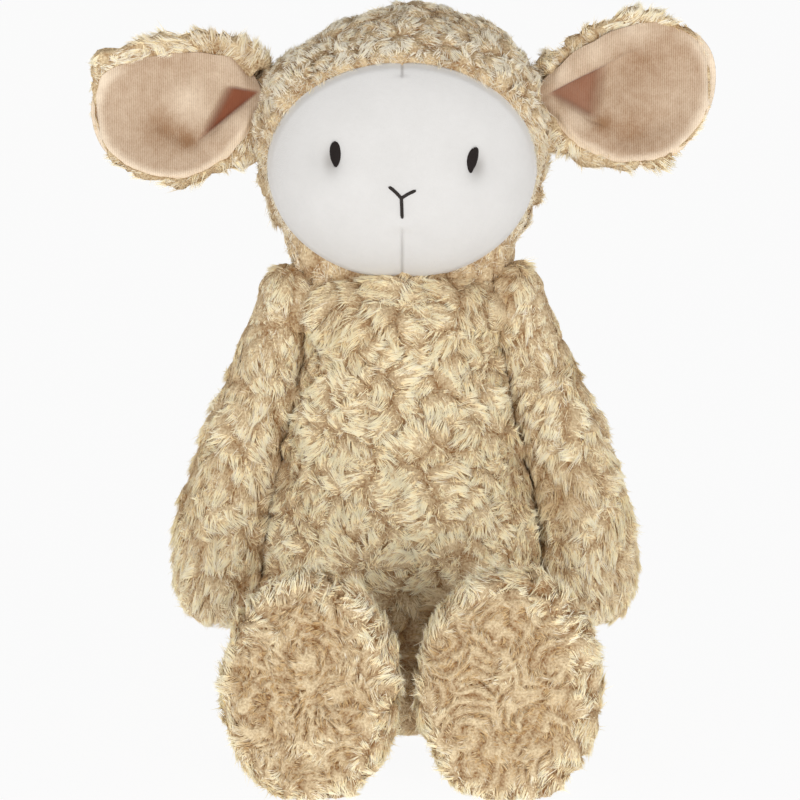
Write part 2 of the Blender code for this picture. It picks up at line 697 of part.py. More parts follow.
def build():
    clear_scene()
    finishes = {
        "fur": material("fur", FUR, 0.95),
        "face": material("face_knit", FACE_WHITE, 0.85),
        "lining": material("ear_velour", LINING, 0.80),
        "eye": material("eye_thread", THREAD_DARK, 0.45),
        "mouth": material("mouth_thread", THREAD_GREY, 0.60),
        "fur_thread": material("seam_thread", THREAD_FUR, 0.70),
        "stuffing": material("stuffing", STUFFING, 0.95),
        "pouch": material("pouch_cloth", POUCH_CLOTH, 0.90),
        "pellets": material("pellets", PELLETS, 0.50),
    }
    floor = box_cutter("floor_cutter", (-FLOOR_REACH, -FLOOR_REACH, -FLOOR_REACH),
                       (FLOOR_REACH, FLOOR_REACH, 0.0))

    body_pockets = []
    limbs = [
        ("left", -1, LEFT_ARM_SPREAD, LEFT_LEG_SPLAY, LEFT_EAR_LIFT),
        ("right", 1, RIGHT_ARM_SPREAD, RIGHT_LEG_SPLAY, RIGHT_EAR_LIFT),
    ]
    head_pockets = [ball_cutter("neck_pocket", (0.0, 0.0, NECK_HEIGHT), NECK_RADIUS + JOINT_GAP)]
    for name, side, spread, splay, lift in limbs:
        shoulder = (side * SHOULDER_SPREAD, -SHOULDER_FORWARD, SHOULDER_HEIGHT)
        body_pockets.append(ball_cutter(f"{name}_shoulder_pocket", shoulder, SHOULDER_RADIUS + JOINT_GAP))
        build_arm(f"{name}_arm", side, spread, shoulder, finishes)

        hip = (side * HIP_SPREAD, -HIP_FORWARD, HIP_HEIGHT)
        body_pockets.append(ball_cutter(f"{name}_hip_pocket", hip, HIP_RADIUS + JOINT_GAP))
        build_leg(f"{name}_leg", side, splay, hip, finishes, floor)

        ear_root = (side * EAR_ROOT_SPREAD, EAR_ROOT_SETBACK, EAR_ROOT_HEIGHT)
        slot = oval(EAR_ROOT_RADIUS + JOINT_GAP, EAR_ROOT_RADIUS + JOINT_GAP, 0.0, 0.0)
        slot_end = EAR_ROOT_THICKNESS + JOINT_GAP
        head_pockets.append(prism_cutter(f"{name}_ear_pocket", slot, -slot_end, slot_end, ear_root))
        turn = (0.0, -side * lift, 0.0)
        fur_mesh = stuffed_mesh(f"{name}_ear_fur", ear_place(side), EAR_RINGS, EAR_SIDES)
        node(f"{name}_ear_fur", fur_mesh, finishes["fur"], ear_root, turn)
        lining_mesh = stuffed_mesh(f"{name}_ear_lining", lining_place(side), LINING_RINGS, LINING_SIDES)
        node(f"{name}_ear_lining", lining_mesh, finishes["lining"], ear_root, turn)

    tail_root = (0.0, body_depth_at(TAIL_ROOT_HEIGHT) + TAIL_STANDOFF, TAIL_ROOT_HEIGHT)
    body_pockets.append(ball_cutter("tail_pocket", tail_root, TAIL_ROOT_RADIUS + JOINT_GAP))
    node("tail", stuffed_mesh("tail", tail_place, SMALL_RINGS, SMALL_SIDES), finishes["fur"],
         tail_root, (-TAIL_SLOPE, 0.0, 0.0))

    build_body(finishes, body_pockets, floor)
    build_head(finishes, head_pockets)


build()
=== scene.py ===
# %% [markdown]
# # A seated plush sheep
# The real toy is sewn from a cream plush whose pile is set in small soft tufts. It has a smooth white face of
# short-napped knit, two stitched eyes, a stitched mouth and wide ears lined with tan velour.
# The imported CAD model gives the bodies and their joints. It could be dressed with a bumpy material alone, but
# then the outline would stay bald. So each stuffed form becomes a lumpy coat, and real strands are laid on it.

# %% The frame and the tools
import json
import math

import bmesh
import bpy
import numpy as np
from mathutils import Euler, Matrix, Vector
from mathutils.bvhtree import BVHTree
from mathutils.kdtree import KDTree


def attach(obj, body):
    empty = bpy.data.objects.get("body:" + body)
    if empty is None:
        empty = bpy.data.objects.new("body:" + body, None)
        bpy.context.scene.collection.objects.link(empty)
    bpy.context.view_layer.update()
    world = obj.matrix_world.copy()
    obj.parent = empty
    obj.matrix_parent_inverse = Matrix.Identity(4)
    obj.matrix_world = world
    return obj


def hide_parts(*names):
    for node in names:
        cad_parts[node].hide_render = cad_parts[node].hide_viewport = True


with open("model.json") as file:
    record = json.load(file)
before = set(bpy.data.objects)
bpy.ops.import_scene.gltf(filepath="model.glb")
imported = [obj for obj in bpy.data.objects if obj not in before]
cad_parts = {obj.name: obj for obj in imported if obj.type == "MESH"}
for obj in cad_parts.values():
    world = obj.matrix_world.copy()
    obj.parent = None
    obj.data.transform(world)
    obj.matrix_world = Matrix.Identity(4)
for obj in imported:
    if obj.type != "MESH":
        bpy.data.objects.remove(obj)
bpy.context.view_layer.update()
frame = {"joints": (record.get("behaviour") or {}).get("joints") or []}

MM = 0.001


def new_object(name, data):
    """An object in the scene's own collection."""
    made = bpy.data.objects.new(name, data)
    bpy.context.scene.collection.objects.link(made)
    return made


def operator_mesh(name, operator, **values):
    """A mesh that one bmesh operator makes."""
    shape = bmesh.new()
    operator(shape, **values)
    mesh = bpy.data.meshes.new(name)
    shape.to_mesh(mesh)
    shape.free()
    return mesh


def made_real(source):
    """The mesh that an object's modifiers or bevel give. The object itself goes."""
    graph = bpy.context.evaluated_depsgraph_get()
    mesh = bpy.data.meshes.new_from_object(source.evaluated_get(graph))
    bpy.data.objects.remove(source)
    return mesh


# %% [markdown]
# ## Camera, light and floor
# The photograph was taken a little above the toy's middle, with a long lens, against white. The camera stands
# 1.3 m away and 9 degrees up. A wide soft lamp near the camera gives a plain front light, and the world fills the rest.
# The floor and the world are white to the camera alone, so the white never lights the toy more than a studio does.

# %% Camera
CAMERA_DISTANCE = 1.3
CAMERA_RISE = math.radians(9)
FRAME_WIDTH = 0.320                     # what the picture spans in the plane of the body
SENSOR = 36.0
TARGET = Vector((-0.0008, 0.0, 0.1296))

camera = new_object("camera", bpy.data.cameras.new("camera"))
camera.data.sensor_width = SENSOR
camera.data.lens = SENSOR * CAMERA_DISTANCE / FRAME_WIDTH
back = Vector((0.0, -math.cos(CAMERA_RISE), math.sin(CAMERA_RISE)))
camera.location = TARGET + back * CAMERA_DISTANCE
camera.rotation_euler = (-back).to_track_quat("-Z", "Y").to_euler()
bpy.context.scene.camera = camera
bpy.context.scene.view_settings.view_transform = "Standard"
print("camera", [round(x, 4) for x in camera.location], "lens", round(camera.data.lens, 1))


# %% Lamps
def soft_lamp(name, place, aim, size, power):
    """A square lamp that faces the point it is aimed at."""
    lamp = bpy.data.lights.new(name, "AREA")
    lamp.size = size
    lamp.energy = power
    made = new_object(name, lamp)
    made.location = place
    made.rotation_euler = (Vector(aim) - Vector(place)).to_track_quat("-Z", "Y").to_euler()


LAMP_SIZE = 0.55
KEY_PLACE = (0.65, -1.45, 0.29)         # high enough that the floor cuts nothing off a lamp
KEY_POWER = 7.2
FILL_PLACE = (-0.75, -1.45, 0.29)
FILL_POWER = 5.2
soft_lamp("key_lamp", KEY_PLACE, TARGET, LAMP_SIZE, KEY_POWER)
soft_lamp("fill_lamp", FILL_PLACE, TARGET, LAMP_SIZE, FILL_POWER)
print("two soft lamps")

# %% [markdown]
# ## Materials as sums
# A material is a tree of nodes. Long trees are easier to read as sums, so one small class wraps a socket and turns
# plus, minus, times and over into Math nodes. Every other node comes from its one node method.


# %% A socket that can be reckoned with
class Wire:
    """A socket of a node tree. Sums on it add Math nodes to the tree."""

    def __init__(self, tree, socket=None):
        self.tree = tree
        self.socket = socket

    def node(self, kind, settings=None, sockets=None, out=0):
        """Add a node: first its settings, then a value or link for each socket."""
        made = self.tree.nodes.new(kind)
        settings = dict(settings or {})
        stops = settings.pop("stops", [])
        for key, value in settings.items():
            setattr(made, key, value)
        for spot, colour in stops[2:]:
            made.color_ramp.elements.new(spot)
        for element, (spot, colour) in zip(list(made.color_ramp.elements) if stops else [], stops):
            element.position = spot
            element.color = (*colour, 1.0)
        for key, value in (sockets or {}).items():
            if isinstance(value, Wire):
                self.tree.links.new(value.socket, made.inputs[key])
            else:
                made.inputs[key].default_value = value
        return Wire(self.tree, made.outputs[out])

    def other(self, out):
        """Another output of the node that this socket belongs to."""
        return Wire(self.tree, self.socket.node.outputs[out])

    def sum(self, operation, first, second):
        return self.node("ShaderNodeMath", {"operation": operation}, {0: first, 1: second})

    def mixed(self, first, second):
        """The two colours mixed by this socket."""
        ends = {0: self, 6: first, 7: second}
        ends = {key: (*v, 1.0) if isinstance(v, tuple) else v for key, v in ends.items()}
        return self.node("ShaderNodeMix", {"data_type": "RGBA"}, ends, 2)

    def __add__(self, other):
        return self.sum("ADD", self, other)

    def __radd__(self, other):
        return self.sum("ADD", other, self)

    def __sub__(self, other):
        return self.sum("SUBTRACT", self, other)

    def __rsub__(self, other):
        return self.sum("SUBTRACT", other, self)

    def __mul__(self, other):
        return self.sum("MULTIPLY", self, other)

    def __rmul__(self, other):
        return self.sum("MULTIPLY", other, self)


def srgb(red, green, blue):
    """A colour read as 0 to 255 on a screen, as the linear values that a material takes."""
    return tuple(
        (c / 255.0 / 12.92) if c < 10.3 else ((c / 255.0 + 0.055) / 1.055) ** 2.4 for c in (red, green, blue)
    )


def finish(name, paint, **constants):
    """A material. paint(wire) gives the links that vary, and constants the shader's own values."""
    made = bpy.data.materials.new(name)
    made.use_nodes = True
    tree = made.node_tree
    shader = tree.nodes["Principled BSDF"]
    for socket, value in constants.items():
        shader.inputs[socket.replace("_", " ")].default_value = value
    for socket, wire in paint(Wire(tree)).items():
        tree.links.new(wire.socket, shader.inputs[socket])
    return made


def object_place(wire):
    return wire.node("ShaderNodeTexCoord", out="Object")


def attribute(wire, name):
    return wire.node("ShaderNodeAttribute", {"attribute_name": name}, out="Fac")


def noise(place, scale, detail):
    return place.node("ShaderNodeTexNoise", sockets={"Vector": place, "Scale": scale, "Detail": detail})


def bump(height, strength, distance):
    return height.node("ShaderNodeBump", sockets={"Strength": strength, "Distance": distance, "Height": height})


print("materials are written as sums")

# %% The white world and the floor
WHITE = (1.0, 1.0, 1.0, 1.0)
PAPER = (0.90, 0.90, 0.90, 1.0)
WALL_LIGHT = 0.98
CEILING_LIGHT = 0.05


def seen_directly(wire):
    """1 where the camera, a reflection or a clear surface sees it, and 0 where it only lights other things."""
    path = wire.node("ShaderNodeLightPath")
    rays = path.other("Is Camera Ray") + path.other("Is Glossy Ray") + path.other("Is Transmission Ray")
    return rays.sum("MINIMUM", rays, 1.0)


world = bpy.data.worlds.new("studio")
bpy.context.scene.world = world
world.use_nodes = True
wire = Wire(world.node_tree)
sky = wire.node("ShaderNodeSeparateXYZ", sockets={0: wire.node("ShaderNodeTexCoord", out="Generated")}).other("Z")
light = WALL_LIGHT - sky * (WALL_LIGHT - CEILING_LIGHT)
lit = wire.node("ShaderNodeBackground", sockets={"Color": WHITE, "Strength": light})
seen = wire.node("ShaderNodeBackground", sockets={"Color": WHITE, "Strength": 1.0})
either = wire.node("ShaderNodeMixShader", sockets={0: seen_directly(wire), 1: lit, 2: seen})
world.node_tree.links.new(either.socket, world.node_tree.nodes["World Output"].inputs["Surface"])

FLOOR_SIZE = 44.0
FLOOR_WHITE_SHARE = 0.94                # the rest of what the camera sees is the lit floor with its shadow
FLOOR_GLOW_SHARE = 0.90                 # of the light that the floor sends up, as a lit table does
floor_mesh = operator_mesh("floor", bmesh.ops.create_grid, x_segments=1, y_segments=1, size=FLOOR_SIZE / 2.0)
floor = new_object("floor", floor_mesh)
paper = bpy.data.materials.new("white_paper")
paper.use_nodes = True
wire = Wire(paper.node_tree)
matt = wire.node("ShaderNodeBsdfDiffuse", sockets={"Color": PAPER})
glow = wire.node("ShaderNodeEmission", sockets={"Color": WHITE, "Strength": 1.0})
share = seen_directly(wire) * (FLOOR_WHITE_SHARE - FLOOR_GLOW_SHARE) + FLOOR_GLOW_SHARE
either = wire.node("ShaderNodeMixShader", sockets={0: share, 1: matt, 2: glow})
paper.node_tree.links.new(either.socket, paper.node_tree.nodes["Material Output"].inputs["Surface"])
floor_mesh.materials.append(paper)
print("white floor", FLOOR_SIZE, "m wide")

# %% [markdown]
# ## The stuffed forms
# Each limb is a tube of cloth that swells and tapers: a row of rings, each with a place along the limb and a
# half-width and half-depth. A smooth curve through the rings gives the skin at any share of its length and any turn
# round it. The CAD model is made from the same rings, so coat and collision solid agree.


# %% Rings joined by a smooth curve
def smooth_rows(rows, share):
    """Rows of four numbers at shares of the way through, on a Catmull-Rom curve."""
    rows = np.asarray(rows, float)
    last = len(rows) - 1
    at = np.clip(share, 0.0, 1.0) * last
    first = np.minimum(at.astype(int), last - 1)
    t = (at - first)[:, None]
    a = rows[np.maximum(first - 1, 0)]
    b = rows[first]
    c = rows[first + 1]
    d = rows[np.minimum(first + 2, last)]
    bend = 2.0 * a - 5.0 * b + 4.0 * c - d
    twist = 3.0 * b - a - 3.0 * c + d
    return (0.5 * (2.0 * b + (c - a) * t + bend * t**2 + twist * t**3)).T


DOME_ANGLES = [math.radians(90), math.radians(60), math.radians(30)]


def dome_rows(radius, flatness=1.0):
    """Rings of the round root that a limb turns on."""
    rows = []
    for angle in DOME_ANGLES:
        wide = radius * math.cos(angle)
        rows.append((-radius * math.sin(angle), 0.0, wide, flatness * wide))
    rows.append((0.0, 0.0, radius, flatness * radius))
    return rows


def scaled_rows(shares, along, shift, wide, deep):
    return [(a * along, s * shift, w * wide, d * deep) for a, s, w, d in shares]


def unit(vectors):
    return vectors / np.maximum(np.linalg.norm(vectors, axis=-1, keepdims=True), 1e-9)


def dot(first, second):
    return (first * second).sum(-1, keepdims=True)


def level(vectors, normals):
    """The part of each vector that lies along the surface, one unit long."""
    return unit(vectors - dot(vectors, normals) * normals)


def ease(value):
    """0 below 0, 1 above 1 and smooth in between."""
    value = np.clip(value, 0.0, 1.0)
    return value * value * (3.0 - 2.0 * value)


def rising(value, start, width):
    """0 up to the start, and 1 from a width beyond it."""
    return ease((value - start) / width)


def falling(value, end, width):
    """1 up to a width short of the end, and 0 from the end on."""
    return ease((end - value) / width)


class Form:
    """A stuffed form: place(share, cosine, sine) gives its skin in its own frame."""

    STEP = 1e-3

    def __init__(self, place, origin=(0.0, 0.0, 0.0), turn=(0.0, 0.0, 0.0)):
        self.place = place
        self.origin = np.array(origin)
        self.rotation = np.array(Euler(turn).to_matrix())

    def points(self, share, turn):
        return self.place(share, np.cos(turn), np.sin(turn)) @ self.rotation.T + self.origin

    def skin(self, share, turn):
        """Points, normals that face out, and how much area a unit of share and turn covers."""
        near = np.clip(share, 0.01, 0.99)
        along = self.points(near + self.STEP, turn) - self.points(near - self.STEP, turn)
        across = self.points(near, turn + self.STEP) - self.points(near, turn - self.STEP)
        facing = np.cross(across, along)
        area = np.linalg.norm(facing, axis=1)
        facing = unit(facing)
        found = self.points(share, turn)
        middle = self.points(np.array([0.1, 0.9]), np.array([0.0, 0.0])).mean(0)
        outward = np.sign(np.mean(dot(found - middle, facing)))
        return found, facing * outward, area / (2.0 * self.STEP) ** 2

    def scatter(self, count, rng):
        """Shares and turns of points spread evenly over the skin."""
        shares, turns = np.zeros(0), np.zeros(0)
        while len(shares) < count:
            share = rng.uniform(0.0, 1.0, 4 * count)
            turn = rng.uniform(-math.pi, math.pi, 4 * count)
            area = self.skin(share, turn)[2]
            kept = rng.uniform(0.0, 1.0, len(share)) * np.percentile(area, 99.5) < area
            shares = np.concatenate([shares, share[kept]])
            turns = np.concatenate([turns, turn[kept]])
        return shares[:count], turns[:count]

    def area(self):
        rng = np.random.default_rng(1)
        share = rng.uniform(0.0, 1.0, 20000)
        turn = rng.uniform(-math.pi, math.pi, 20000)
        return self.skin(share, turn)[2].mean() * 2.0 * math.pi


print("rings join into forms")

# %% Body and head
NECK_HEIGHT = 0.166
NECK_RADIUS = 0.019
BODY_HALF_WIDTH = 0.055
BODY_HALF_DEPTH = 0.045
SEAT_FLAT = 0.0005
SEAT_RIM_SHARE = 0.46
HEAD_CENTRE = Vector((0.0, 0.0, 0.232))
HEAD_HALF = (0.055, 0.055)              # width and height
HEAD_FRONT = 0.044
HEAD_BACK = 0.050
HEAD_ROUNDNESS = 2.2

BODY_SHARES = [
    (0.012, 0.0, 0.62, 0.62), (0.055, 0.0, 0.79, 0.79), (0.150, 0.0, 0.95, 0.95), (0.280, 0.0, 1.00, 1.00),
    (0.430, 0.0, 0.965, 0.97), (0.575, 0.0, 0.895, 0.88), (0.720, 0.0, 0.805, 0.78), (0.860, 0.0, 0.710, 0.70),
    (0.955, 0.0, 0.615, 0.63), (1.015, 0.0, 0.665, 0.50),
]
body_rows = [
    (-SEAT_FLAT, 0.0, 0.0, 0.0),
    (-SEAT_FLAT / 2.0, 0.0, SEAT_RIM_SHARE * BODY_HALF_WIDTH, SEAT_RIM_SHARE * BODY_HALF_DEPTH),
]
body_rows += scaled_rows(BODY_SHARES, NECK_HEIGHT, 0.0, BODY_HALF_WIDTH, BODY_HALF_DEPTH)
body_rows += [(NECK_HEIGHT - a, 0.0, w, d) for a, _, w, d in reversed(dome_rows(NECK_RADIUS)[:3])]


def body_place(share, across, forward):
    height, shift, wide, deep = smooth_rows(body_rows, share)
    return np.stack([across * wide, shift + forward * deep, height], 1)


def rounded(value):
    """A cosine or sine, swelled so that the ball is a little squarer than an ellipsoid."""
    return np.sign(value) * np.abs(value) ** (2.0 / HEAD_ROUNDNESS)


def head_place(share, across, forward):
    height = rounded(-np.cos(math.pi * share))
    reach = rounded(np.sin(math.pi * np.clip(share, 0.0, 1.0)))
    depth = np.where(forward > 0.0, HEAD_BACK, HEAD_FRONT)
    x = rounded(across) * reach * HEAD_HALF[0]
    return np.stack([x, rounded(forward) * reach * depth, HEAD_CENTRE.z + height * HEAD_HALF[1]], 1)


body_form = Form(body_place)
head_form = Form(head_place)
print("body", round(body_form.area() * 1e6), "mm2, head", round(head_form.area() * 1e6), "mm2")

# %% Arms, legs and tail
SHOULDER = (0.045, -0.002, 0.172)
SHOULDER_RADIUS = 0.0115
ARM_LENGTH = 0.131
ARM_HALF_WIDTH = 0.0168
ARM_SPREADS = {"left": 0.0285, "right": 0.0315}
ARM_SHARES = [
    (0.100, 0.15, 0.700, 0.700), (0.232, 0.31, 0.750, 0.740), (0.426, 0.57, 0.845, 0.830),
    (0.643, 0.82, 0.940, 0.920), (0.829, 0.97, 1.000, 1.000), (0.945, 1.00, 0.800, 0.830),
    (0.986, 1.00, 0.430, 0.460), (1.000, 1.00, 0.000, 0.000),
]
HIP = (0.033, -0.047, 0.023)
HIP_RADIUS = 0.0215
LEG_LENGTH = 0.0795
FOOT_HALF_WIDTH = 0.030
FOOT_HALF_HEIGHT = 0.041
FOOT_RISE = FOOT_HALF_HEIGHT - HIP[2] - SEAT_FLAT
LEG_SPLAYS = {"left": math.radians(1.6), "right": math.radians(3.8)}
LEG_SHARES = [
    (0.180, 0.00, 0.722, 0.541), (0.360, 0.05, 0.735, 0.555), (0.530, 0.24, 0.775, 0.640),
    (0.680, 0.62, 0.875, 0.815), (0.800, 0.93, 0.965, 0.960), (0.885, 1.00, 1.000, 1.000),
    (0.955, 1.00, 0.900, 0.920), (0.990, 1.00, 0.550, 0.580), (1.000, 1.00, 0.000, 0.000),
]
TAIL_ROOT_RADIUS = 0.0065
TAIL_LENGTH = 0.030
TAIL_HALF_WIDTH = 0.0115
TAIL_HALF_DEPTH = 0.0095
TAIL_SLOPE = math.radians(28)
TAIL_SHARES = [
    (0.30, 0.0, 0.82, 0.82), (0.58, 0.0, 1.00, 1.00), (0.84, 0.0, 0.80, 0.80), (0.96, 0.0, 0.45, 0.45),
    (1.00, 0.0, 0.00, 0.00),
]
SIDES = {"left": -1.0, "right": 1.0}


def arm_form(name):
    side = SIDES[name]
    rows = dome_rows(SHOULDER_RADIUS) + scaled_rows(ARM_SHARES, ARM_LENGTH, 1.0, ARM_HALF_WIDTH, ARM_HALF_WIDTH)

    def place(share, across, forward):
        drop, shift, wide, deep = smooth_rows(rows, share)
        x = side * shift * ARM_SPREADS[name] + across * wide
        return np.stack([x, forward * deep, -drop], 1)

    return Form(place, (side * SHOULDER[0], SHOULDER[1], SHOULDER[2]))


def leg_form(name):
    side = SIDES[name]
    rows = dome_rows(HIP_RADIUS) + scaled_rows(LEG_SHARES, LEG_LENGTH, FOOT_RISE, FOOT_HALF_WIDTH, FOOT_HALF_HEIGHT)

    def place(share, across, up):
        reach, rise, wide, high = smooth_rows(rows, share)
        return np.stack([across * wide, -reach, rise + up * high], 1)

    return Form(place, (side * HIP[0], HIP[1], HIP[2]), (0.0, 0.0, side * LEG_SPLAYS[name]))


def tail_place(share, across, up):
    rows = dome_rows(TAIL_ROOT_RADIUS) + scaled_rows(TAIL_SHARES, TAIL_LENGTH, 0.0, TAIL_HALF_WIDTH, TAIL_HALF_DEPTH)
    reach, shift, wide, deep = smooth_rows(rows, share)
    return np.stack([across * wide, reach, shift + up * deep], 1)


tail_joint = next(j for j in frame["joints"] if j["name"] == "tail_wag")
tail_form = Form(tail_place, tail_joint["pos_m"], (-TAIL_SLOPE, 0.0, 0.0))
arm_forms = {name: arm_form(name) for name in SIDES}
leg_forms = {name: leg_form(name) for name in SIDES}
print("arm", round(arm_forms["left"].area() * 1e6), "mm2, leg", round(leg_forms["left"].area() * 1e6), "mm2")

# %% Ears
EAR_ROOT = (0.0515, 0.002, 0.2515)
EAR_ROOT_RADIUS = 0.0098
EAR_ROOT_THICKNESS = 0.0052
EAR_LENGTH = 0.070
EAR_HALF_WIDTH = 0.0270
EAR_BACK_THICKNESS = 0.0050
EAR_FRONT_THICKNESS = 0.0016
EAR_CUP = 0.0085
EAR_LIFTS = {"left": math.radians(-7), "right": math.radians(4)}
EAR_SHARES = [
    (0.060, 0.02, 0.315, 1.00), (0.105, 0.06, 0.262, 0.98), (0.135, 0.12, 0.370, 0.96), (0.180, 0.22, 0.560, 0.94),
    (0.243, 0.38, 0.735, 0.90), (0.343, 0.55, 0.865, 0.88), (0.470, 0.66, 0.955, 0.86), (0.600, 0.70, 1.000, 0.84),
    (0.757, 0.62, 0.940, 0.82), (0.886, 0.48, 0.730, 0.78), (0.964, 0.35, 0.445, 0.66), (1.000, 0.20, 0.000, 0.00),
]
ear_rows = dome_rows(EAR_ROOT_RADIUS, EAR_ROOT_THICKNESS / EAR_ROOT_RADIUS)
ear_rows += scaled_rows(EAR_SHARES, EAR_LENGTH, EAR_CUP, EAR_HALF_WIDTH, EAR_BACK_THICKNESS)


def ear_front(cup, wide, thick, reach):
    """How far forward the ear's front lies at a reach from its middle line."""
    out = np.clip(np.abs(reach) / np.maximum(wide, 1e-6), 0.0, 1.0)
    blade = np.clip((wide - EAR_ROOT_RADIUS) / EAR_ROOT_RADIUS, 0.0, 1.0)
    front = thick + blade * (EAR_FRONT_THICKNESS - thick)
    return cup * out**2 + front * np.sqrt(1.0 - out**2)


# %% The outline and folds of each lining
# Along the ear from its root and up from its middle line, in mm, as the photograph shows them.
LINING_MIDDLE = (36.0, -1.0)
LINING_DROPS = {"left": 3.0, "right": 2.6}
LINING_OUTLINES = {
    "left": [
        (64.5, 19.1), (54.3, 22.3), (44.3, 23.5), (32.0, 23.3), (20.5, 21.2), (12.8, 19.0), (10.0, 16.8), (6.8, 13.2),
        (2.9, 4.1), (8.2, -7.8), (15.7, -14.9), (25.2, -22.3), (32.4, -25.3), (38.6, -25.8), (47.7, -24.7),
        (56.5, -21.1), (63.9, -15.9), (69.2, -9.6), (71.5, -2.4), (71.7, 5.7), (69.6, 12.3), (67.2, 17.0),
    ],
    "right": [
        (0.1, 3.7), (11.1, 12.9), (25.2, 21.8), (39.4, 27.0), (46.5, 27.7), (56.8, 26.4), (65.7, 22.3), (70.7, 16.1),
        (72.6, 9.3), (71.7, -2.0), (68.4, -9.7), (62.8, -17.4), (55.1, -24.3), (46.9, -26.9), (37.7, -27.4),
        (30.9, -27.0), (25.7, -24.1), (20.4, -20.7), (13.4, -16.5), (8.8, -11.8), (7.1, -9.2), (3.8, -3.3), (0.0, 1.8),
    ],
}
# The fur's own outline round each ear, which stands past the lining along its top and its bottom.
FUR_OUTLINES = {
    "left": [
        (70.1, 27.7), (66.9, 29.0), (59.8, 27.5), (51.4, 28.6), (44.9, 30.5), (39.7, 30.7), (34.7, 29.6), (28.3, 31.0),
        (22.1, 31.3), (16.0, 30.1), (11.2, 26.8), (7.3, 25.3), (3.2, 25.4), (-1.2, 21.5), (72.2, 17.5), (73.1, 7.1),
        (70.6, -1.6), (69.2, -12.2), (65.5, -19.0), (57.7, -23.0), (51.9, -26.3), (46.1, -29.7), (39.4, -33.9),
        (35.5, -31.0), (27.4, -28.9), (20.7, -26.5), (17.8, -26.9), (9.4, -25.8), (-1.0, -22.0),
    ],
    "right": [
        (0.8, 18.0), (6.6, 16.0), (12.9, 19.3), (26.0, 25.5), (41.3, 35.4), (46.7, 33.0), (53.1, 33.3), (56.7, 28.6),
        (69.1, 22.1), (73.2, 10.9), (72.0, -5.2), (66.4, -17.0), (54.6, -26.3), (50.0, -34.5), (41.4, -30.6),
        (34.1, -33.4), (25.4, -31.1), (15.9, -29.7), (10.7, -24.4), (-1.0, -20.0),
    ],
}
# Each hollow is a triangle whose sides fall over a distance of their own, crisp where a fold hangs over it.
LINING_HOLLOWS = {
    "left": ([(3.1, 2.4), (17.5, 6.0), (33.5, -16.5)], (2.0, 5.0, 0.9)),
    "right": ([(4.9, 0.0), (31.5, 10.8), (25.4, -13.2)], (0.9, 8.0, 3.0)),
}
HOLLOW_DEPTH = 4.2
# Folds: points that a roll of the lining follows, how high it stands, how wide it is, and on which side it ends in a
# crease (1 above, -1 below, 0 for a soft swell).
LINING_FOLDS = {
    "left": [
        ([(2.0, -1.4), (12.0, -8.4), (20.8, -14.8), (28.6, -19.6)], 2.8, 4.6, 1),
        ([(30.0, 2.0), (40.0, 4.0)], 1.6, 9.0, 0),
        ([(44.2, -6.2), (39.9, -10.4), (34.2, -13.1)], -2.0, 3.6, 0),
    ],
    "right": [
        ([(1.8, 1.7), (12.1, 5.9), (24.6, 14.0), (37.0, 19.8), (47.0, 21.6)], 3.0, 6.0, -1),
        ([(5.5, -3.1), (11.8, -9.6), (20.5, -16.3), (28.3, -19.7)], 2.2, 4.6, 1),
        ([(36.0, -6.0), (44.0, 0.0)], 1.4, 9.0, 0),
        ([(50.0, -14.0), (38.0, -19.0)], -1.4, 5.0, 0),
    ],
}
# Painted light and shade on each lining: pale where a roll or bulge meets the light, dark in dimples and under folds.
# Each is a place, how wide, and how much.
LINING_LIGHT_AND_SHADE = {
    "left": [(33.6, 1.1, 8.0, 0.40), (44.0, -8.0, 8.0, -0.42), (35.0, -13.5, 4.0, -0.50), (45.0, 19.0, 13.0, -0.10),
             (15.0, -8.0, 6.0, 0.22), (58.0, 4.0, 12.0, 0.05), (18.0, 12.0, 7.0, 0.15)],
    "right": [(38.0, -2.0, 60.0, -0.14), (27.0, -13.5, 3.5, -0.50), (44.0, 11.0, 8.0, -0.22), (12.0, 8.0, 6.0, 0.40),
              (25.0, 15.5, 7.0, 0.40), (42.0, 23.0, 8.0, 0.40), (16.0, -11.0, 6.0, 0.36), (38.0, -17.0, 6.0, -0.24),
              (60.0, -6.0, 11.0, 0.16)],
}


def outline_reach(corners, angle):
    """How far an outline reaches from the lining's middle in a direction, in mm."""
    corners = np.array(corners) - np.array(LINING_MIDDLE)
    angles = np.arctan2(corners[:, 1], corners[:, 0])
    order = np.argsort(angles)
    fine = np.linspace(-math.pi, math.pi, 361)[:-1]
    reach = np.interp(fine, angles[order], np.hypot(*corners[order].T), period=2.0 * math.pi)
    window = np.exp(-((np.arange(-9, 10) / 3.5) ** 2))
    smooth = sum(weight * np.roll(reach, shift) for weight, shift in zip(window, range(-9, 10))) / window.sum()
    return np.interp(angle, fine, smooth, period=2.0 * math.pi)


def from_line(along, up, line):
    """Distance from a row of joined points, positive above it, and how far along the row the nearest place is."""
    best = np.full(len(along), 1e9)
    share = np.zeros(len(along))
    above = np.ones(len(along))
    for i, ((x0, z0), (x1, z1)) in enumerate(zip(line[:-1], line[1:])):
        run = (x1 - x0) ** 2 + (z1 - z0) ** 2
        t = np.clip(((along - x0) * (x1 - x0) + (up - z0) * (z1 - z0)) / run, 0.0, 1.0)
        x, z = along - x0 - t * (x1 - x0), up - z0 - t * (z1 - z0)
        nearer = np.hypot(x, z) < best
        best = np.where(nearer, np.hypot(x, z), best)
        share = np.where(nearer, (i + t) / (len(line) - 1), share)
        above = np.where(nearer, np.sign((x1 - x0) * z - (z1 - z0) * x), above)
    return best * above, share


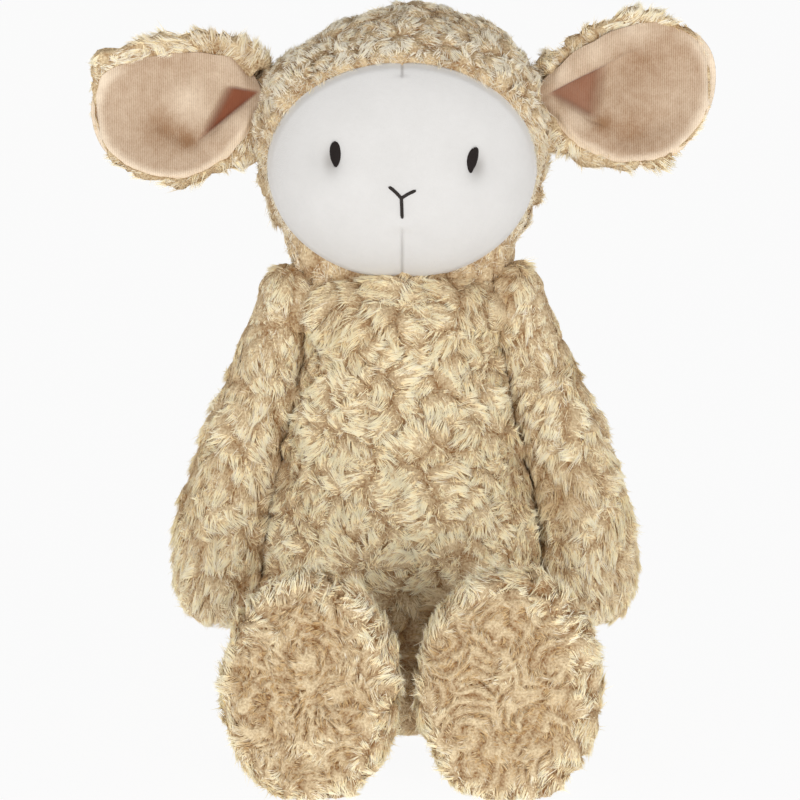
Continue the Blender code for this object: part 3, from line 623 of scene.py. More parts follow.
def hollow_share(name, along, up):
    corners, softness = LINING_HOLLOWS[name]
    middle = np.mean(corners, 0)
    share = np.ones(len(along))
    for (x0, z0), (x1, z1), soft in zip(corners, corners[1:] + corners[:1], softness):
        across = np.array([z0 - z1, x1 - x0]) / math.hypot(x1 - x0, z1 - z0)
        inward = np.sign((middle[0] - x0) * across[0] + (middle[1] - z0) * across[1])
        share = share * ease(inward * ((along - x0) * across[0] + (up - z0) * across[1]) / soft + 0.1)
    return share


def fold_rise(name, along, up):
    """How far the lining's folds stand out of its cupped blade, in mm."""
    rise = np.zeros(len(along))
    for line, height, wide, creased in LINING_FOLDS[name]:
        gap, share = from_line(along, up, line)
        out = gap / wide
        profile = np.exp(-(out**2))
        if creased:
            out = out * creased / (0.5 + 0.5 * ease(share * 2.5))
            round_top = np.sqrt(np.clip(1.0 - out**2, 0.0, 1.0))
            profile = np.where(out > 0.0, round_top, np.exp(-((out / 1.7) ** 2)))
            profile = profile * (0.5 + 0.5 * ease(share * 2.0)) * (1.0 - 0.8 * rising(share, 0.7, 0.3))
        rise = rise + height * profile
    pit = hollow_share(name, along, up)
    return rise * (1.0 - pit) - HOLLOW_DEPTH * pit * rising(along, 2.0, 11.0)


LINING_SEAT = 2.0 * MM                  # how deep under the lining's face the ear's coat stops
BACK_FOLLOWS_SHARE = 0.6                # of a hollow's depth, by which the ear's back swells
EAR_LEAST = 0.8 * MM                    # how thin the ear's coat may get behind a hollow
STRANDS_BEYOND = (2.6, 5.4)             # mm that the strands stand past the coat's edge, below and above
CAD_EDGE = smooth_rows(ear_rows, np.linspace(0.0, 1.0, 120))[[0, 2]].T / MM
CAD_OUTLINE = np.vstack([CAD_EDGE, CAD_EDGE * [1.0, -1.0]])


def ear_form(name):
    side = SIDES[name]

    def place(share, up, forward):
        along, cup, wide, thick = smooth_rows(ear_rows, share)
        reach = up * wide
        x, z = along / MM - LINING_MIDDLE[0], reach / MM - LINING_MIDDLE[1]
        angle = np.arctan2(z, x)
        solid = outline_reach(CAD_OUTLINE, angle)
        beyond = STRANDS_BEYOND[0] + (STRANDS_BEYOND[1] - STRANDS_BEYOND[0]) * ease(0.5 + 1.5 * np.sin(angle))
        growth = np.maximum((outline_reach(FUR_OUTLINES[name], angle) - beyond) / solid, 1.0) - 1.0
        growth = 1.0 + growth * rising(np.hypot(x, z) / solid, 0.5, 0.5) * rising(along, -0.002, 0.006)
        along, reach = (LINING_MIDDLE[0] + x * growth) * MM, (LINING_MIDDLE[1] + z * growth) * MM
        folds = fold_rise(name, along / MM, reach / MM) * MM
        blade = rising(along, 0.006, 0.012)
        within = np.abs(forward)
        rear = (thick + np.maximum(-folds, 0.0) * BACK_FOLLOWS_SHARE) * within - cup * up * up
        seat = blade * (LINING_SEAT - np.maximum(folds, 0.0)) - np.minimum(folds, 0.0) * 1.15
        front = -ear_front(cup, wide, thick, up * wide) + seat * within
        front = np.minimum(front, rear - EAR_LEAST * within)
        return np.stack([side * along, np.where(forward > 0.0, rear, front), reach], 1)

    origin = (side * EAR_ROOT[0], EAR_ROOT[1], EAR_ROOT[2])
    return Form(place, origin, (0.0, -side * EAR_LIFTS[name], 0.0))


ear_forms = {name: ear_form(name) for name in SIDES}
print("ear", round(ear_forms["left"].area() * 1e6), "mm2 with its front")

# %% [markdown]
# ## Combing
# Gravity and the maker's steam set how each pile lies: down the body and the arms, back from the face, round the
# middle of each sole, and outward at the ears' edges.

# %% The lie of the pile on each form
FACE_CENTRE = Vector((0.0, 0.0, 0.2229))
FACE_HALF = (0.0532, 0.0430)
FACE_COMB_END = 1.9                     # shares of the face's oval, where the pile no longer lies away from it
FACE_COMB_FADE = 0.6
SOLE_MIDDLE = (0.036, 0.041)            # across and up
SOLE_START = 0.095                      # how far forward the rings begin
SOLE_RIM = 0.98                         # shares of the foot's oval, where the rings end
LEG_MIDDLE = 0.035                      # across, where the leg's pile parts
EAR_MIDDLE = (0.082, 0.251)             # across and up, where the ear's pile parts
RIM_COMBED = 9.0                        # how much more the rim of a sole is combed than its middle


def face_share(points):
    """How far out a point is as a share of the face's oval, and 9 behind the head."""
    share = np.hypot(points[:, 0] / FACE_HALF[0], (points[:, 2] - FACE_CENTRE.z) / FACE_HALF[1])
    return np.where(points[:, 1] < 0.0, share, 9.0)


def down(points, normals):
    return level(np.tile([0.0, 0.0, -1.0], (len(points), 1)), normals)


def off_the_face(points, normals):
    outward = points - np.array(FACE_CENTRE)
    outward[:, 1] = 0.02
    back = np.tile([0.0, 0.3, -1.0], (len(points), 1))
    front = np.clip((FACE_COMB_END - face_share(points)) / FACE_COMB_FADE, 0.0, 1.0)[:, None]
    return level(unit(outward) * front + unit(back) * (1.0 - front), normals)


def sole_share(points):
    """How far out a point is as a share of its foot's oval, seen from in front."""
    across = (points[:, 0] - np.sign(points[:, 0]) * SOLE_MIDDLE[0]) / FOOT_HALF_WIDTH
    return np.hypot(across, (points[:, 2] - SOLE_MIDDLE[1]) / FOOT_HALF_HEIGHT)


def ringed_share(points):
    """1 on the middle of a sole, where the ridges wind round roses."""
    return rising(-points[:, 1], SOLE_START, 0.015) * falling(sole_share(points), SOLE_RIM, 0.2)


def away_from(points, across, up):
    """One unit away from a line that runs from front to back, on either side of the toy."""
    side = np.sign(points[:, :1])
    middle = np.concatenate([side * across, points[:, 1:2], np.full((len(points), 1), up)], 1)
    return unit(points - middle)


def along_leg(points, normals):
    """Out from the middle of the sole in front, and forward along the leg behind it."""
    rim = 1.0 + RIM_COMBED * rising(sole_share(points)[:, None], 0.72, 0.2)
    return level(away_from(points, LEG_MIDDLE, SOLE_MIDDLE[1]) + np.array([0.0, -0.2, 0.0]), normals) * rim


def out_from_ear(points, normals):
    return level(away_from(points, *EAR_MIDDLE) * 0.8 + np.sign(points[:, :1]) * [0.5, 0.0, 0.0], normals)


def along_tail(points, normals):
    return level(np.tile([0.0, 1.0, -0.5], (len(points), 1)), normals)


print("five ways to comb")

# %% [markdown]
# ## Tufts
# The plush is steamed so that its pile sets in soft tufts, each about 5 to 10 mm across. The pile of a tuft lies one
# way, in a slight curve, and its tips hang over the next tuft. Painted shade browns the few creases between them, and
# painted light makes the crests and tips paler. On the soles, ridges of pile circle round a few middles like the leaves
# of a rose. Tufts are scattered over each form, none too near another. Every point then knows its own tuft, so coat
# and strands share one pattern.

# %% Scattering the tufts
WARP = 2.9 * MM                         # how far the tufts are pulled out of round
WARP_WAVE = 19.0 * MM
WARP_WAVES = 6
RING_WAVES = 2.3
RING_WOBBLE = 1.5
RING_OVAL = 0.4                         # how far the rings are out of round
RING_FADE = 0.3                         # of a ridge, where it is broken
RING_MEAN = 0.75                        # height of a ridge where it is wholly broken
RING_LEVEL = 0.75                       # how far the ringed part hides the plain tufts
TUFT_SIZES = (1.3, 0.7, 1.1, 0.9)       # shares of the tufts' usual size, in turn
TUFT_HEIGHTS = (0.45, 1.3)              # shares of the relief
TUFT_CURL = 0.35                        # turn of the pile over a tuft's own size
TUFT_FAN = (0.12, 0.3)                  # mean and spread of how far the pile fans out
ROSE_OUTWARD = 0.35                     # how much the pile round a rose also points away from its middle
RIDGE_WIDTHS = (0.8, 1.3)               # shares of the usual width
RIDGE_POWER = 0.7                       # below 1, ridges are round and the gaps between them sharp
TIP_REACH = 0.6                         # of a tuft's size, over which its pile gets higher towards the tips
COAT_RISE = 0.4 * MM                    # of its creases above the CAD form


class Tufts:
    """The middles of the tufts on one form, and how the pile of each lies."""

    def __init__(self, form, comb, size, relief, seed, combed=0.5, chaos=0.6, rose=0.0, rose_size=28.0 * MM,
                 stretch=1.0, groove=0.5, rings=False):
        rng = np.random.default_rng(seed)
        self.size = size
        self.relief = relief
        self.groove = groove
        self.rings = rings
        self.stretch = np.array([1.0, 1.0, stretch])
        self.waves = unit(rng.normal(size=(WARP_WAVES, 3))) * 2.0 * math.pi / WARP_WAVE
        self.wave_ways = unit(rng.normal(size=(WARP_WAVES, 3))) * WARP / math.sqrt(WARP_WAVES)
        tries = int(8 * form.area() / size**2)
        points, normals, _ = form.skin(*form.scatter(tries, rng))
        places = self.bent(points)
        kept = self.apart(places, size)
        count = len(kept)
        self.middles = places[kept]
        self.normals = normals[kept]
        points = points[kept]
        roses = self.apart(points, rose_size)
        nearest = np.linalg.norm(points[:, None] - points[None, roses], axis=2).argmin(1)
        away = points - points[roses][nearest]
        self.spins = rng.choice([-1.0, 1.0], len(roses))
        spin = self.spins[nearest]
        self.roses = points[roses]
        self.rose_across = level(np.tile([1.0, 0.2, 0.1], (len(roses), 1)), self.normals[roses])
        self.rose_up = np.cross(self.normals[roses], self.rose_across)
        self.rose_phase = rng.uniform(0.0, math.pi, len(roses))
        around = np.cross(self.normals, unit(away)) * spin[:, None] + ROSE_OUTWARD * unit(away)
        way = rose * around + combed * comb(points, self.normals) + chaos * rng.normal(size=(count, 3))
        self.ways = level(way, self.normals)
        self.curl = spin * rose / np.maximum(np.linalg.norm(away, axis=1), 0.6 * size)
        self.curl += rng.normal(0.0, TUFT_CURL, count) / size
        self.fan = rng.normal(*TUFT_FAN, count) / size
        self.tall = rng.uniform(*TUFT_HEIGHTS, count)
        self.tone = rng.uniform(0.0, 1.0, count)
        self.phase = rng.uniform(0.0, math.pi, count)
        self.ridge_width = relief[2] * rng.uniform(*RIDGE_WIDTHS, count)
        self.tree = KDTree(count)
        for i, middle in enumerate(self.middles):
            self.tree.insert(middle, i)
        self.tree.balance()

    def bent(self, points):
        """Points squeezed along the pile's length and pushed about a little, so that no tuft is round."""
        return points * self.stretch + np.sin(points @ self.waves.T) @ self.wave_ways

    def apart(self, places, spacing):
        kept = [0]
        for i in range(1, len(places)):
            if ((places[kept] - places[i]) ** 2).sum(1).min() > (spacing * TUFT_SIZES[i % len(TUFT_SIZES)]) ** 2:
                kept.append(i)
        return kept

    def ringed(self, points, normals):
        """The ridges that wind round the nearest rose, broken here and there, and the way the pile runs on them."""
        nearest = np.linalg.norm(points[:, None] - self.roses[None], axis=2).argmin(1)
        away = points - self.roses[nearest]
        angle = np.arctan2(dot(away, self.rose_up[nearest])[:, 0], dot(away, self.rose_across[nearest])[:, 0])
        phase = self.rose_phase[nearest]
        wobble = np.sin(points @ self.waves.T * RING_WAVES) @ self.wave_ways
        oval = 1.0 + RING_OVAL * np.cos(angle + 2.0 * phase)
        lane = np.linalg.norm(away, axis=1) * oval + wobble[:, 0] * RING_WOBBLE
        ridge = np.abs(np.cos(math.pi * lane / self.relief[2] + 0.5 * angle + phase)) ** RIDGE_POWER
        broken = np.clip(0.5 + wobble[:, 1] / (0.5 * WARP), 0.0, 1.0)
        ridge = ridge + RING_FADE * broken * (RING_MEAN - ridge)
        circle = np.cross(normals, unit(away)) * self.spins[nearest][:, None] + 0.3 * unit(away)
        return ridge, level(circle, normals)

    def at(self, points, normals):
        """Tuft, height of the coat, crest (1 on top of the pile, 0 in a crease) and the way the pile runs."""
        places = self.bent(points)
        found = [self.tree.find_n(place, 2) for place in places]
        near = np.array([pair[0][1] for pair in found])
        first = np.array([pair[0][2] for pair in found])
        second = np.array([pair[1][2] for pair in found])
        dome = 1.0 - (2.0 * first / (first + second)) ** 3
        arc = places - self.middles[near]
        way = level(self.ways[near], normals)
        side = np.cross(normals, way)
        along = dot(arc, way)[:, 0]
        across = dot(arc, side)[:, 0]
        turn = self.curl[near] * along + self.fan[near] * across
        run = way * np.cos(turn)[:, None] + side * np.sin(turn)[:, None]
        lane = across - 0.5 * self.curl[near] * along**2
        ridge = np.abs(np.cos(math.pi * lane / self.ridge_width[near] + self.phase[near])) ** RIDGE_POWER
        inner = ease(dome * 3.0)
        if self.rings:
            sole = self.rings(points)
            around, circle = self.ringed(points, normals)
            ridge = ridge + (around - ridge) * sole
            inner = inner + (1.0 - inner) * sole
            dome = dome + (1.0 - dome) * RING_LEVEL * sole
            run = run + (circle - run) * 0.8 * sole[:, None]
        tip = np.clip(along / self.size, -TIP_REACH, TIP_REACH)
        height = self.relief[0] * np.sqrt(dome) * self.tall[near] * (1.0 + 0.7 * tip) + self.relief[1] * ridge * inner
        crest = np.sqrt(dome) * (1.0 - self.groove * (1.0 - ridge)) * (0.85 + 0.5 * tip)
        return near, COAT_RISE + height, crest, level(run / self.stretch, normals)


print("tufts are ready to scatter")

# %% [markdown]
# ## Coats
# Under the strands lies the coat: the dense foot of the pile on its backing. It is a closed form, swelled in every
# tuft and creased between them, and darker than the tips, because little light reaches it. Each coat stands in for
# the skin, sole and stuffing of its CAD body.

# %% The coat's material
# Painted shade and light: the coat is browner in its creases and paler on its tops, mixed by each point's crest.
COAT_CREASE = srgb(142, 98, 50)
COAT_TOP = srgb(236, 214, 174)


def coat_paint(wire):
    grain = noise(object_place(wire), 1100.0, 4.0)
    share = attribute(wire, "crest") * 0.8 + grain * 1.5 - 0.65
    return {"Base Color": share.mixed(COAT_CREASE, COAT_TOP), "Normal": bump(grain, 0.9, 1.1 * MM)}


coat_finish = finish("fur_coat", coat_paint, Roughness=0.95)
print("coat material")


# %% Making a coat
def read_points(mesh):
    flat = np.zeros(len(mesh.vertices) * 3)
    mesh.vertices.foreach_get("co", flat)
    return flat.reshape(-1, 3)


def paint_points(mesh, name, values):
    """A value for each point, which the material of that mesh reads by name."""
    mesh.attributes.new(name, "FLOAT", "POINT").data.foreach_set("value", values)


def add_piece(name, mesh, body, material):
    """A finished piece that rides on its CAD body."""
    made = new_object(name, mesh)
    mesh.materials.append(material)
    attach(made, body)
    return made


PRESSED = 0.5 * MM                      # how near the floor the coat comes
coats = {}


def coat(name, form, pattern, rings, sides, body, nodes, swelled=None, closed=None):
    """A closed coat over a form. swelled(points, normals, height) may make it fuller or flatter in places, and
    closed(points, normals) is 1 where another form lies against it, where painted shade darkens the coat
    to its brown foot."""
    mesh = operator_mesh(name, bmesh.ops.create_uvsphere, u_segments=sides, v_segments=rings, radius=1.0)
    ball = read_points(mesh)
    share = np.arccos(np.clip(-ball[:, 2], -1.0, 1.0)) / math.pi
    turn = np.arctan2(ball[:, 1], ball[:, 0])
    points, normals, _ = form.skin(share, turn)
    _, height, crest, _ = pattern.at(points, normals)
    if swelled:
        height = swelled(points, normals, height)
    if closed:
        crest = crest * (1.0 - closed(points, normals))
    points = points + normals * height[:, None]
    points[:, 2] = np.maximum(points[:, 2], PRESSED)
    mesh.vertices.foreach_set("co", points.ravel())
    paint_points(mesh, "crest", crest)
    volume = bmesh.new()
    volume.from_mesh(mesh)
    if volume.calc_volume(signed=True) < 0.0:
        mesh.flip_normals()
    volume.free()
    mesh.shade_smooth()
    made = add_piece(name, mesh, body, coat_finish)
    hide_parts(*nodes)
    faces = [tuple(face.vertices) for face in mesh.polygons]
    coats[name] = (BVHTree.FromPolygons([tuple(p) for p in points], faces), points.min(0), points.max(0))
    print(name, len(mesh.polygons), "faces,", len(pattern.middles), "tufts")


# %% Where coats are fuller or flatter
UNDER_FACE = 1.6 * MM                   # how far the coat lies below the head's form behind the face
CROWN_SHORTER = 0.30
CROWN_DROPS = (1.4, 3.4, 1.8)           # mm: all over, further on the left and less on the right
NAPE_SIDES = 0.9                        # how much fuller the nape is beside its middle
SHOULDER_THINNER = 0.7
# Painted shade on a coat where a limb lies against it.
LIMB_SHADE = 0.3                        # how much of the paleness goes where a limb lies against the coat
ELBOW = (0.066, 0.140)                  # heights between which the arm is fuller
SHOULDER_FILL = 6.5 * MM
NAPE_FILL = 4.0 * MM
ELBOW_FILL = 2.2 * MM
EAR_UNDER_LINING = 1.0 * MM
FAR_END_THIN = (0.25, 0.85)             # of the coat's tufts, at the left and the right ear's far end
ROOT_BARE_SHARE = 0.18                  # how much further the coat keeps low round the lining's root


def on_the_crown(points):
    return rising(points[:, 2], 0.258, 0.020)


def crown_share(points):
    """Shorter pile over the crown."""
    return 1.0 - CROWN_SHORTER * on_the_crown(points)


def crown_drop(points):
    """How much lower the coat is over the crown, most of all on its left, as the photograph shows."""
    everywhere, further, less = CROWN_DROPS
    left = falling(points[:, 0], 0.008, 0.030)
    right = rising(points[:, 0], 0.026, 0.012)
    return on_the_crown(points) * (everywhere + further * left - less * right) * MM


def round_the_head(points, normals, height):
    shown = rising(face_share(points), 0.99, 0.07)
    beside = rising(np.abs(points[:, 0]), 0.018, 0.012)
    nape = NAPE_FILL * falling(points[:, 2], 0.198, 0.012) * (1.0 + NAPE_SIDES * beside)
    return (height * crown_share(points) + nape - crown_drop(points)) * shown - UNDER_FACE * (1.0 - shown)


def shoulder_share(points):
    """Thin fur on the outer side of each shoulder."""
    return 1.0 - SHOULDER_THINNER * rising(points[:, 2], 0.140, 0.030) * rising(np.abs(points[:, 0]), 0.045, 0.009)


def round_the_shoulder(points, normals, height):
    """Thin at the shoulder, and fuller outside the elbow."""
    elbow = rising(points[:, 2], ELBOW[0], 0.02) * falling(points[:, 2], ELBOW[1], 0.02)
    return height * shoulder_share(points) + ELBOW_FILL * elbow * ease(np.abs(points[:, 0]) * 40.0 - 2.2)


def shade_beside_the_arms(points, normals):
    """Painted shade on the flanks, which an arm hangs over."""
    return LIMB_SHADE * falling(points[:, 2], 0.160, 0.02) * rising(np.abs(points[:, 0]), 0.036, 0.008)


def shade_inside_the_arm(points, normals):
    """Painted shade on the arm's own side towards the body."""
    return LIMB_SHADE * ease(-np.sign(points[:, 0]) * normals[:, 0] * 1.6 - 0.2)


FOOT_LEANS = {"left": (-2.0 * MM, 0.5 * MM), "right": (2.6 * MM, -1.6 * MM)}


def foot_fill(name):
    """How much fuller a foot is on its outer and its inner side, as the photograph shows."""
    outer, inner = FOOT_LEANS[name]

    def fill(points, normals, height):
        side = SIDES[name] * normals[:, 0]
        front = rising(-points[:, 1], 0.075, 0.02)
        return height + front * (outer * ease(side) + inner * ease(-side))

    return fill


foot_fills = {name: foot_fill(name) for name in SIDES}


def up_the_neck(points, normals, height):
    """Fuller from the shoulders up, where the body meets the head."""
    return height + SHOULDER_FILL * rising(points[:, 2], 0.148, 0.018)


def lining_share(points):
    """How far out a point is as a share of its ear's lining, from the lining's middle."""
    share = np.zeros(len(points))
    for name, side in SIDES.items():
        form = ear_forms[name]
        mine = points[:, 0] * side > 0.0
        local = (points[mine] - form.origin) @ form.rotation / MM
        along = side * local[:, 0] - LINING_MIDDLE[0]
        up = local[:, 2] - LINING_MIDDLE[1] + LINING_DROPS[name]
        root = ROOT_BARE_SHARE * falling(side * local[:, 0], 9.0, 7.0)
        share[mine] = np.hypot(along, up) / outline_reach(LINING_OUTLINES[name], np.arctan2(up, along)) - root
    return share


def round_the_ear(points, normals, height):
    """Low in front beside the lining, and below it where it covers the coat."""
    behind = np.where(normals[:, 1] > 0.35, 1.0, rising(lining_share(points), 0.90, 0.08))
    low = 0.35 + 0.65 * ease(normals[:, 1] * 1.5 + 0.8)
    thin = np.where(points[:, 0] < 0.0, *FAR_END_THIN)
    end = 1.0 - thin * rising(np.abs(points[:, 0]), 0.110, 0.008)
    return height * low * end * behind - EAR_UNDER_LINING * (1.0 - behind)


# %% The coats of the toy
# Each form's tufts: how it is combed, how wide they are, and how high the tufts and their ridges stand and how wide a
# ridge is.
BODY_NODES = ["body_skin", "body_stuffing", "pellet_pouch", "pellets", "neck_stitching"]
tufts = {
    "body": Tufts(body_form, down, 8.2 * MM, (2.7 * MM, 0.9 * MM, 3.0 * MM), 11, 0.35, 1.1, 0.7, 26.0 * MM),
    "head": Tufts(head_form, off_the_face, 7.2 * MM, (2.3 * MM, 0.7 * MM, 2.6 * MM), 12, 0.30, 0.9, 0.6, 22.0 * MM),
    "tail": Tufts(tail_form, along_tail, 7.5 * MM, (1.6 * MM, 0.5 * MM, 3.0 * MM), 13, 0.8, 0.4),
}
coat("body_coat", body_form, tufts["body"], 200, 250, "torso", BODY_NODES, up_the_neck, shade_beside_the_arms)
coat("head_coat", head_form, tufts["head"], 150, 200, "head", ["head_skin", "head_stuffing"], round_the_head)
coat("tail_coat", tail_form, tufts["tail"], 40, 48, "tail", ["tail"])
for number, name in enumerate(SIDES):
    arm, leg, ear = f"{name}_arm", f"{name}_leg", f"{name}_ear"
    tufts[arm] = Tufts(arm_forms[name], down, 7.4 * MM, (2.1 * MM, 0.6 * MM, 2.8 * MM), 20 + number, 0.8, 0.5,
                       stretch=0.7)
    tufts[leg] = Tufts(leg_forms[name], along_leg, 8.0 * MM, (1.9 * MM, 2.4 * MM, 4.9 * MM), 30 + number, 0.10, 0.3,
                       1.0, 21.0 * MM, groove=1.25, rings=ringed_share)
    tufts[ear] = Tufts(ear_forms[name], out_from_ear, 6.6 * MM, (1.7 * MM, 0.5 * MM, 2.8 * MM), 40 + number, 0.8, 0.4)
    coat(f"{arm}_coat", arm_forms[name], tufts[arm], 130, 96, arm, [f"{arm}_skin", f"{arm}_stuffing"],
         round_the_shoulder, shade_inside_the_arm)
    leg_nodes = [f"{leg}_skin", f"{leg}_stuffing", f"{leg}_sole"]
    coat(f"{leg}_coat", leg_forms[name], tufts[leg], 150, 150, leg, leg_nodes, foot_fills[name])
    coat(f"{ear}_coat", ear_forms[name], tufts[ear], 90, 90, ear, [f"{ear}_fur"], round_the_ear)

# %% [markdown]
# ## Strands
# Blender's own hair doesn't survive an export, so each strand is a small closed mesh: a three-sided spike. One is
# made with operators, an Array repeats it, and numpy then puts every copy in its place at once. Many short strands
# that follow a curve look softer than a few bent ones. A strand lies low along its tuft's ridge. Strands near each
# other share a lock: their tips gather towards its leader's tip, which leaves small dark gaps, as combed plush has.
# A strand is narrower than the camera can see, so its three faces stay flat: smoothing them would only darken it.

# %% One strand
def strand_template():
    """A three-sided spike, with how far round and how far up each corner is."""
    shape = bmesh.new()
    bmesh.ops.create_cone(shape, cap_ends=True, segments=3, radius1=1.0, radius2=0.0, depth=1.0)
    bmesh.ops.recalc_face_normals(shape, faces=shape.faces)
    chart = shape.loops.layers.uv.new("OFBake")
    for face in shape.faces:
        middle = face.calc_center_median()
        cap = face.normal.z < -0.9
        for loop in face.loops:
            corner = loop.vert.co
            turned = middle.x * corner.y - middle.y * corner.x
            lateral = 0.5 if corner.z > 0.49 else float(turned > 0.0)
            if cap:
                lateral = 0.5 + 0.5 * corner.x
            loop[chart].uv = (lateral, (0.5 + corner.z) if not cap else 0.02 + 0.02 * corner.y)
    mesh = bpy.data.meshes.new("strand")
    shape.to_mesh(mesh)
    shape.free()
    return mesh


strand = strand_template()
strand_corners = read_points(strand)
strand_tip = (strand_corners[:, 2] > 0.0).astype(int)
strand_round = unit(strand_corners[:, :2]) * (1 - strand_tip)[:, None]
print("one strand:", len(strand.vertices), "corners,", len(strand.polygons), "faces")

# %% The strands' material
# The strands' own colour chart: root to tip upward, and shade across, from dark to light in its left half for the
# body's cream and again in its right half for the head's greyer cream.
CHART = "OFBake"
PILE_DARK = [(0.0, srgb(146, 102, 54)), (0.5, srgb(208, 172, 118)), (1.0, srgb(234, 206, 154))]
PILE_LIGHT = [(0.0, srgb(242, 216, 164)), (0.35, srgb(255, 243, 206)), (1.0, srgb(255, 250, 226))]
GREY_DARK = [(0.0, srgb(138, 108, 74)), (0.5, srgb(214, 192, 156)), (1.0, srgb(238, 222, 194))]
GREY_LIGHT = [(0.0, srgb(238, 220, 188)), (0.35, srgb(250, 241, 220)), (1.0, srgb(254, 250, 238))]
PILE_SHEEN = (1.0, 0.9, 0.74, 1.0)


def pile_paint(wire):
    chart = wire.node("ShaderNodeSeparateXYZ", sockets={0: wire.node("ShaderNodeUVMap", {"uv_map": CHART})})
    across = chart.other("X")
    up = chart.other("Y")
    grey = across.sum("GREATER_THAN", across, 0.5)
    shade = across * 2.0 - grey
    ends = []
    for cream, greyer in ((PILE_DARK, GREY_DARK), (PILE_LIGHT, GREY_LIGHT)):
        ramps = [wire.node("ShaderNodeValToRGB", {"stops": stops}, {0: up}) for stops in (cream, greyer)]
        ends.append(grey.mixed(*ramps))
    return {"Base Color": shade.mixed(*ends)}


pile_finish = finish("fur_pile", pile_paint, Roughness=0.8,
                     Sheen_Weight=0.12, Sheen_Roughness=0.5, Sheen_Tint=PILE_SHEEN)
print("pile material")

# %% Placing a whole pile at once
STRANDS_IN_A_PIECE = 48000
SHADE_WIDTH = 0.012                     # how much of the chart one strand spans


def pile_pieces(name, body, roots, tips, normals, widths, shades, grey):
    """Strands from roots to tips, as pieces of up to 48,000 strands."""
    count = len(roots)
    pieces = max(1, math.ceil(count / STRANDS_IN_A_PIECE))
    for piece in range(pieces):
        rows = np.arange(piece, count, pieces)
        title = f"{name}_{piece + 1}" if pieces > 1 else name
        source = new_object(title, strand.copy())
        many = source.modifiers.new("many", "ARRAY")
        many.count = len(rows)
        many.use_relative_offset = False
        many.use_constant_offset = True
        many.constant_offset_displace = (0.0, 0.0, 1.0)
        mesh = made_real(source)
        ahead = unit(tips[rows] - roots[rows])
        across = unit(np.cross(ahead, normals[rows]))
        upward = np.cross(ahead, across)
        spread = strand_round[None, :, :1] * across[:, None] + strand_round[None, :, 1:] * upward[:, None]
        corners = np.stack([roots[rows], tips[rows]], 1)[:, strand_tip] + spread * (0.5 * widths[rows])[:, None, None]
        corners[..., 2] = np.maximum(corners[..., 2], 0.0)
        mesh.vertices.foreach_set("co", corners.ravel())
        chart = mesh.uv_layers[CHART]
        values = np.zeros(len(chart.uv) * 2)
        chart.uv.foreach_get("vector", values)
        values = values.reshape(len(rows), -1, 2)
        start = np.clip(shades[rows], 0.0, 1.0) * (1.0 - 3.0 * SHADE_WIDTH) + SHADE_WIDTH
        values[..., 0] = 0.5 * (start[:, None] + SHADE_WIDTH * values[..., 0] + grey[rows][:, None])
        chart.uv.foreach_set("vector", values.ravel())
        mesh.name = title
        mesh.update()
        add_piece(title, mesh, body, pile_finish)
    print(name, count, "strands in", pieces, "pieces")


# %% Laying the strands of one form
LOCK_SIZE = 3.4 * MM
PILE_COUNT_SHARE = 1.0
STRAND_WIDTHS = (0.35 * MM, 0.50 * MM)
STRAY_SHARE = 0.06
LOWEST_ROOM_SHARE = 0.3
ROOM_REACH = 3.4 * MM


def room_for(points, own, reach):
    """Share of its height that a strand has before it meets a neighbour. Under a limb a short one stays, which is
    seen when the limb swings away, but none grows into an ear."""
    room = np.ones(len(points))
    for name, (tree, low, high) in coats.items():
        if name == own:
            continue
        covered = 0.0 if "ear" in name + own else LOWEST_ROOM_SHARE
        near = np.flatnonzero(((points > low - reach) & (points < high + reach)).all(1) & (room > 0.0))
        for i in near:
            place, facing, _, gap = tree.find_nearest(points[i], reach)
            if place is not None:
                inside = (Vector(points[i]) - place).dot(facing) < 0.0
                room[i] = covered if inside else min(room[i], max(gap / reach, LOWEST_ROOM_SHARE))
    return room


UNDERFUR_SHARE = 0.30                   # of the locks, short ones that lie every way and hide the backing
UNDERFUR_TURN = 3.0
UNDERFUR_SHORTER = 0.5
UNDERFUR_SHADE = 0.10                   # how much browner it is
LOCK_TURN = 0.26                        # how far a lock strays from its tuft's run
STRAND_TURN = 0.09                      # how far a strand strays from its lock
STRAND_LENGTHS = (0.7, 1.2)             # shares of the form's own length
STRAND_RISES = (0.3, 1.4)               # shares of the form's own lift
STRAY_RISE = 0.9                        # how much higher a stray tip stands
FOLDED_SHORTER = 0.45                   # of a strand that leans over an edge
ROOT_DEPTH = 0.3 * MM                   # in the coat
GATHER = (0.25, 0.6)                    # how far the tips of a lock go towards its leader's tip
GATHER_LESS = 0.7                       # of that, in the underfur
TUFT_TONE = 0.34                        # what each share of a strand's shade is worth
LOCK_TONE = 0.24
STRAND_TONE = 0.10
# Painted light and shade: strands in creases are browner and those on crests and towards a tuft's tips paler.
# CREVICE_SHADE is painted shade that browns strands where two forms meet.
CREST_TONE = 0.95
BASE_TONE = 0.20
CREVICE_SHADE = 0.7                     # how much browner strands are where two forms meet
PATCH_SHADE = 0.45                      # slow change over the coat, from browner to paler
PATCH_WAVES = 0.6


